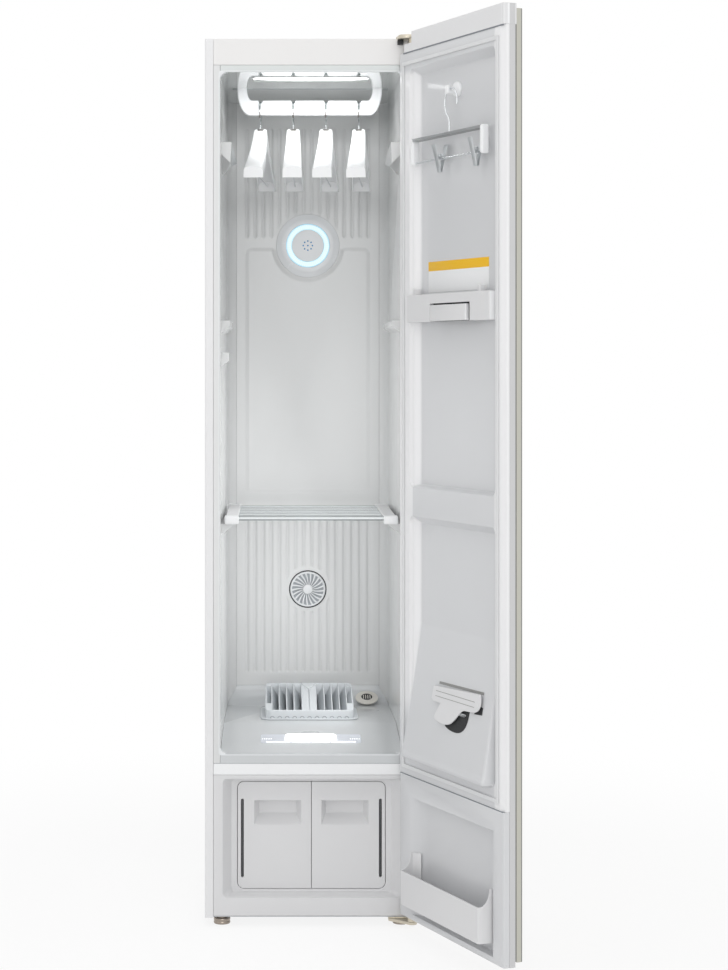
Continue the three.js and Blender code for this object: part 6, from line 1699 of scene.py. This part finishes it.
@dataclass
class Clip:
    """A spring clip of the trouser hanger: two bent legs and a coiled spring."""

    side: str
    place: float
    half: float = 9.0
    plane: float = 20.0
    pin: float = 1588.5
    coil: float = 3.4
    line: ClassVar[list[tuple[float, float]]] = [(0.9, 1556.0), (1.8, 1564), (4.6, 1576), (7.4, 1588), (10.6, 1600),
                                                 (13.6, 1611)]

    def leg(self, way: float) -> Surface:
        """A leg: a thin strip that flares from the grip up to the handle."""
        path = np.array([[self.place, self.plane + way * (v + 1.0), z] for v, z in eased(self.line, 2)])
        share = np.linspace(0, 1, len(path))[:, None, None]
        wide = rounded(1.0, 0.75, 0.6, 3)[None] * np.concatenate(
            [self.half * (0.8 + 0.2 * share), np.ones_like(share)], axis=-1)
        return swept(path, wide, ACROSS)

    def spring(self) -> Surface:
        """The spring: a helix of five turns about the pin."""
        turn = np.linspace(0, 10 * math.pi, 121)
        path = np.stack([self.place - 5 + 10 * turn / turn[-1], self.plane + self.coil * np.cos(turn),
                         self.pin + self.coil * np.sin(turn)], axis=-1)
        return swept(path, circle(0.7, 8), ACROSS)

    def build(self, shop: Workshop) -> None:
        """Makes and dresses both halves."""
        clip, jaw = f"trouser_clip_{self.side}", f"trouser_clip_jaw_{self.side}"
        shop.make(f"{clip}_leg", [self.leg(-1), self.spring()], SPRING_STEEL, clip, [clip], door=True)
        shop.make(f"{jaw}_leg", self.leg(1), SPRING_STEEL, f"clip_jaw_{self.side}", [jaw], door=True)


@dataclass
class TrouserHanger:
    """The wire hanger on the door's hook: hook, upper channel, lower rod, end caps and two clips."""

    middle: float = 206.0
    plane: float = 20.0
    left: float = 49.0
    right: float = 357.0
    top: float = 1630.0
    low: float = 1582.0
    loop: tuple[float, float, float] = (213.0, 1692.6, 26.0)

    def hook(self) -> Surface:
        """The hook: two thirds of a circle over the peg, then an S bend to the middle and down."""
        u, z, r = self.loop
        angle = np.radians(np.linspace(-18, 190, 40))
        over = np.stack([u + r * np.cos(angle), np.full(40, self.plane), z + r * np.sin(angle)], axis=-1)
        rest = [[across, self.plane, level] for across, level in (
            (u - r * 0.98, z - 10), (u - r * 0.8, z - 22), (self.middle, z - 34), (self.middle, z - 48),
            (self.middle, self.top))]
        path = np.concatenate([over[:-1], eased(np.concatenate([over[-1:], rest]))])
        return swept(path, circle(1.75, 16), BACK)

    def build(self, shop: Workshop) -> None:
        """Makes and dresses the hanger and its clips."""
        body, start, stop, plane = "trouser_hanger", self.left + 4, self.right - 4, self.plane
        lower = swept(np.array([[u, plane, self.low] for u in (start, self.middle, stop)]), circle(2.2, 20), UP)
        shop.make("trouser_hanger_wire", [self.hook(), lower], CHROME, body, [body], door=True)
        shop.box("trouser_hanger_channel", (start, plane - 7.6, self.top - 4.5), (stop, plane + 7.6, self.top + 2),
                 1.2, STRAP, body)
        caps = [block((edge, plane - 8.3, self.low - 5), (edge + 11, plane + 8.3, self.top + 3), 4.2, 4)
                for edge in (self.left, self.right - 11)]
        shop.make("trouser_hanger_caps", caps, WHITE, body, door=True)
        Clip("left", 165.0).build(shop)
        Clip("right", 318.0).build(shop)


@dataclass
class Door:
    """The door: its shell, liners, seal and fittings."""

    card: tuple[float, float, float, float] = (76.6, 333.3, 1318.0, 1380.0)
    card_band: float = 19.0
    hook_at: tuple[float, float] = (206.0, 1712.0)
    cap_corner: float = 9.0

    def fittings(self, shop: Workshop) -> None:
        """Makes the garment hook and the plain card."""
        u, z = self.hook_at
        base = turned([(POLE, 0.1), (15.6, 0.1), (15.9, 1.2), (15.2, 4.6), (12.6, 7.2), (8.0, 8.2), (POLE, 8.4)],
                      (u, 0, z + 6), BACK, 48)
        peg = drum(5, 0, 24, (u, 2, z), BACK, 28)
        lip = block((u - 6.5, 21.2, z - 5), (u + 6.5, 27.2, z + 13), 2.4)
        shop.make("garment_hook_moulded", [base, peg, lip], WHITE, "door", ["garment_hook"], door=True)
        left, right, low, high = self.card
        seam = high - self.card_band
        for name, start, stop, finish in (("door_card", low, seam, CARD), ("door_card_band", seam, high, CARD_BAND)):
            shop.make(name, block((left, -0.1, start), (right, 0.35, stop), 0.2, 2), finish, "door", door=True)

    def build(self, shop: Workshop) -> None:
        """Makes and dresses the pieces."""
        shop.soften("door_front_panel", TRIM, 0.8)
        low, high = shop.on_door("door_front_panel")
        # Painted shade: a thin dark strip on the front panel's free edge.
        shop.box("door_outer_skin", (high[0] - 3, low[1] + 1.5, low[2] + 0.6),
                 (high[0] + PROUD, low[1] + 3.6, high[2] - 0.6), 0.3, EDGE_SHADE)
        # Painted shade: a grey strip in the gap along the door's free edge.
        shop.box("door_edge_seam", (high[0] - 8, -7.4, low[2] + 2), (high[0] - 1.2, -3.9, high[2] - 2), 0.3, SEAM_SHADE)
        shop.soften("door_frame", FRAME_GREY, 0.7)
        DoorLiner().build(shop)
        shop.soften("door_liner_lower", DOOR, 1.4, 3)
        low, high = shop.on_door("door_liner_upper")
        # Painted shade: a grey strip in the gap under the upper liner.
        shop.box("door_liner_seam", (low[0] + 3, 12, low[2] - 1.5), (high[0] - 4, 20.8, low[2] + 0.5), 0.3, SHADE_GREY)
        shop.soften("door_top_cap", DOOR_CAP, 1.2, 3)
        low, high = shop.on_door("door_top_cap")
        turn, bow = np.radians(np.linspace(90, 0, 7)), self.cap_corner
        edge, face = float(high[0]) + PROUD, float(high[1]) + PROUD
        bend = np.stack([edge - bow + bow * np.cos(turn), face - bow + bow * np.sin(turn)], axis=-1)
        corner = np.concatenate([[[edge - 10, face - 3], [edge - 10, face]], bend, [[edge, 8.6], [edge - 3, 8.6]]])
        # Painted highlight: the cap's rounded corner is whiter than the cap.
        shop.make("door_cap_corner", plate(corner, low[2] + 0.8, high[2] - 0.6, 0.4), WHITE, "door", door=True)
        shop.box("door_cap_side", (edge - 3, -3.9, low[2] - 0.5), (edge, 7.8, high[2] - 0.2), 0.3, FRAME_GREY)
        # Painted shade: a grey strip for the shade in the groove under the cap.
        shop.box("door_cap_groove", (2.0, high[1] - 3, low[2] - 2.4), (edge - 5, high[1] + 0.05, low[2] + 0.2), 0.4,
                 SHADE_GREY)
        shop.soften("door_gasket", GASKET, 0.8)
        Presser().build(shop)
        HemClamp().build(shop)
        shop.soften("door_bin", DOOR_FITTING, 0.9)
        self.fittings(shop)
        TrouserHanger().build(shop)


# Studio


@dataclass
class Studio:
    """Plain floor and backdrop, soft lights and the camera of the photograph."""

    camera_at: tuple[float, float, float] = (-82.7, -4500.0, 1176.5)
    pixels: float = 2159.5
    centre: tuple[float, float] = (272.0, 362.0)
    world: float = 0.72
    sensor: float = 36.0
    sight: float = 60.0
    floor_half: float = 14.0
    floor_fade: tuple[float, float] = (0.7, 2.2)
    room: ClassVar[tuple[tuple[Any, ...], ...]] = (
        ("front_lamp", (0.2, -4.6, 1.4), (0, 0, 0.95), (2.2, 3.0), 27),
        ("left_lamp", (-3.6, -2.2, 1.8), (0, 0, 0.95), (1.6, 3.0), 2),
        ("top_lamp", (0, -1.6, 4.0), (0, 0, 0.0), (3.4, 3.4), 22))
    cavity: ClassVar[tuple[tuple[Any, ...], ...]] = (
        ("cavity_left_lamp", (-0.04, 0.1, 0.82), (-0.5, 0.1, 0.7), (0.3, 0.75), 1.0),
        ("cavity_right_lamp", (-0.13, 0.18, 0.95), (0.5, 0.18, 0.8), (0.3, 0.8), 0.3),
        ("cavity_top_lamp", (-0.08, 0.08, 1.72), (-0.08, 0.45, 1.4), (0.22, 0.04), 0.36))

    def camera(self, shop: Workshop) -> None:
        """Sets the camera: lens = focal length in pixels times sensor width over image height."""
        data = bpy.data.cameras.new("studio_camera")
        data.sensor_width = self.sensor
        data.lens = self.pixels * self.sensor / IMAGE_HEIGHT
        data.shift_x = (IMAGE_WIDTH / 2 - self.centre[0]) / IMAGE_HEIGHT
        data.shift_y = -(IMAGE_HEIGHT / 2 - self.centre[1]) / IMAGE_HEIGHT
        data.clip_end = self.sight
        camera = added("studio_camera", data)
        camera.location = shop.body(np.array(self.camera_at)).tolist()
        camera.rotation_euler = (math.pi / 2, 0, 0)
        bpy.context.scene.camera = camera

    @staticmethod
    def seen(recipe: Recipe) -> Flow:
        """Is 1 for what the camera sees straight, by reflection or through glass."""
        rays = recipe.node("ShaderNodeLightPath")
        total = Flow(recipe, rays.outputs["Is Camera Ray"]) + Flow(recipe, rays.outputs["Is Glossy Ray"])
        total = total + Flow(recipe, rays.outputs["Is Transmission Ray"])
        return recipe.maths("MINIMUM", total, 1.0)

    def floor(self) -> None:
        """Lays the floor: matt, with a share of plain white where it is seen."""
        recipe = Recipe(bpy.data.materials.new("studio_floor"))
        matt = recipe.node("ShaderNodeBsdfDiffuse", None, {"Color": (0.97, 0.97, 0.97, 1)})
        white = recipe.node("ShaderNodeEmission", None, {"Color": (1, 1, 1, 1), "Strength": 1.0})
        x, y, _ = recipe.about((0, 0, 0))
        away = ((x * x + y * y) ** 0.5).between(*self.floor_fade)
        mixed = recipe.node("ShaderNodeMixShader", None, {0: self.seen(recipe) * (away * 0.16 + 0.84),
                                                          1: matt.outputs[0], 2: white.outputs[0]})
        mesh = bpy.data.meshes.new("studio_floor")
        far = self.floor_half
        mesh.from_pydata([(-far, -far, 0), (far, -far, 0), (far, far, 0), (-far, far, 0)], [], [(0, 1, 2, 3)])
        mesh.materials.append(recipe.close(mixed.outputs[0]))
        added("studio_floor", mesh)

    def sky(self) -> None:
        """Sets the world: white where it is seen, and an even soft light on the object."""
        world = bpy.data.worlds.new("studio_world")
        bpy.context.scene.world = world
        recipe = Recipe(world)
        strength = recipe.node("ShaderNodeMapRange", None, {0: self.seen(recipe), 3: self.world, 4: 1.0})
        background = recipe.node("ShaderNodeBackground", None, {0: (1, 1, 1, 1), 1: strength.outputs[0]})
        recipe.node("ShaderNodeOutputWorld", None, {0: background.outputs[0]})

    def lamp(self, name: str, at: tuple[float, float, float], to: tuple[float, float, float],
             size: tuple[float, float], power: float) -> bpy.types.Object:
        """Adds a soft rectangular lamp.

        Args:
            name: Its name.
            at: Its place in metres.
            to: The point that it faces.
            size: Width and height in metres.
            power: Power in watts.

        Returns:
            The lamp.
        """
        data = bpy.data.lights.new(name, "AREA")
        data.shape = "RECTANGLE"
        data.size, data.size_y = size
        data.energy = power
        lamp = added(name, data)
        lamp.location = at
        way = np.asarray(to, float) - np.asarray(at, float)
        lamp.rotation_euler = (math.atan2(float(np.hypot(way[0], way[1])), -way[2]), 0,
                               math.atan2(way[1], way[0]) - math.pi / 2)
        return lamp

    def build(self, shop: Workshop) -> None:
        """Sets the whole studio."""
        self.camera(shop)
        self.floor()
        self.sky()
        for name, at, to, size, power in self.room:
            self.lamp(name, at, to, size, power)
        for name, at, to, size, power in self.cavity:
            self.lamp(name, at, to, size, power).visible_glossy = False
        bpy.context.scene.view_settings.view_transform = "Standard"


def main() -> None:
    """Builds the studio and every sub-assembly in order."""
    logging.basicConfig(level=logging.INFO, format="%(message)s")
    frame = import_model()
    shop = Workshop.around(frame)
    Studio().build(shop)
    for assembly in (Casing(), Cavity(), BackWall(), FloorLamp(), LintFilter(), LightDisc(), FanGrille(), Shelf(),
                     HangerRail(), WaterTanks(), Door()):
        assembly.build(shop)
        log.info("%s done, %d pieces so far", type(assembly).__name__, shop.count)


if __name__ == "__main__":
    main()
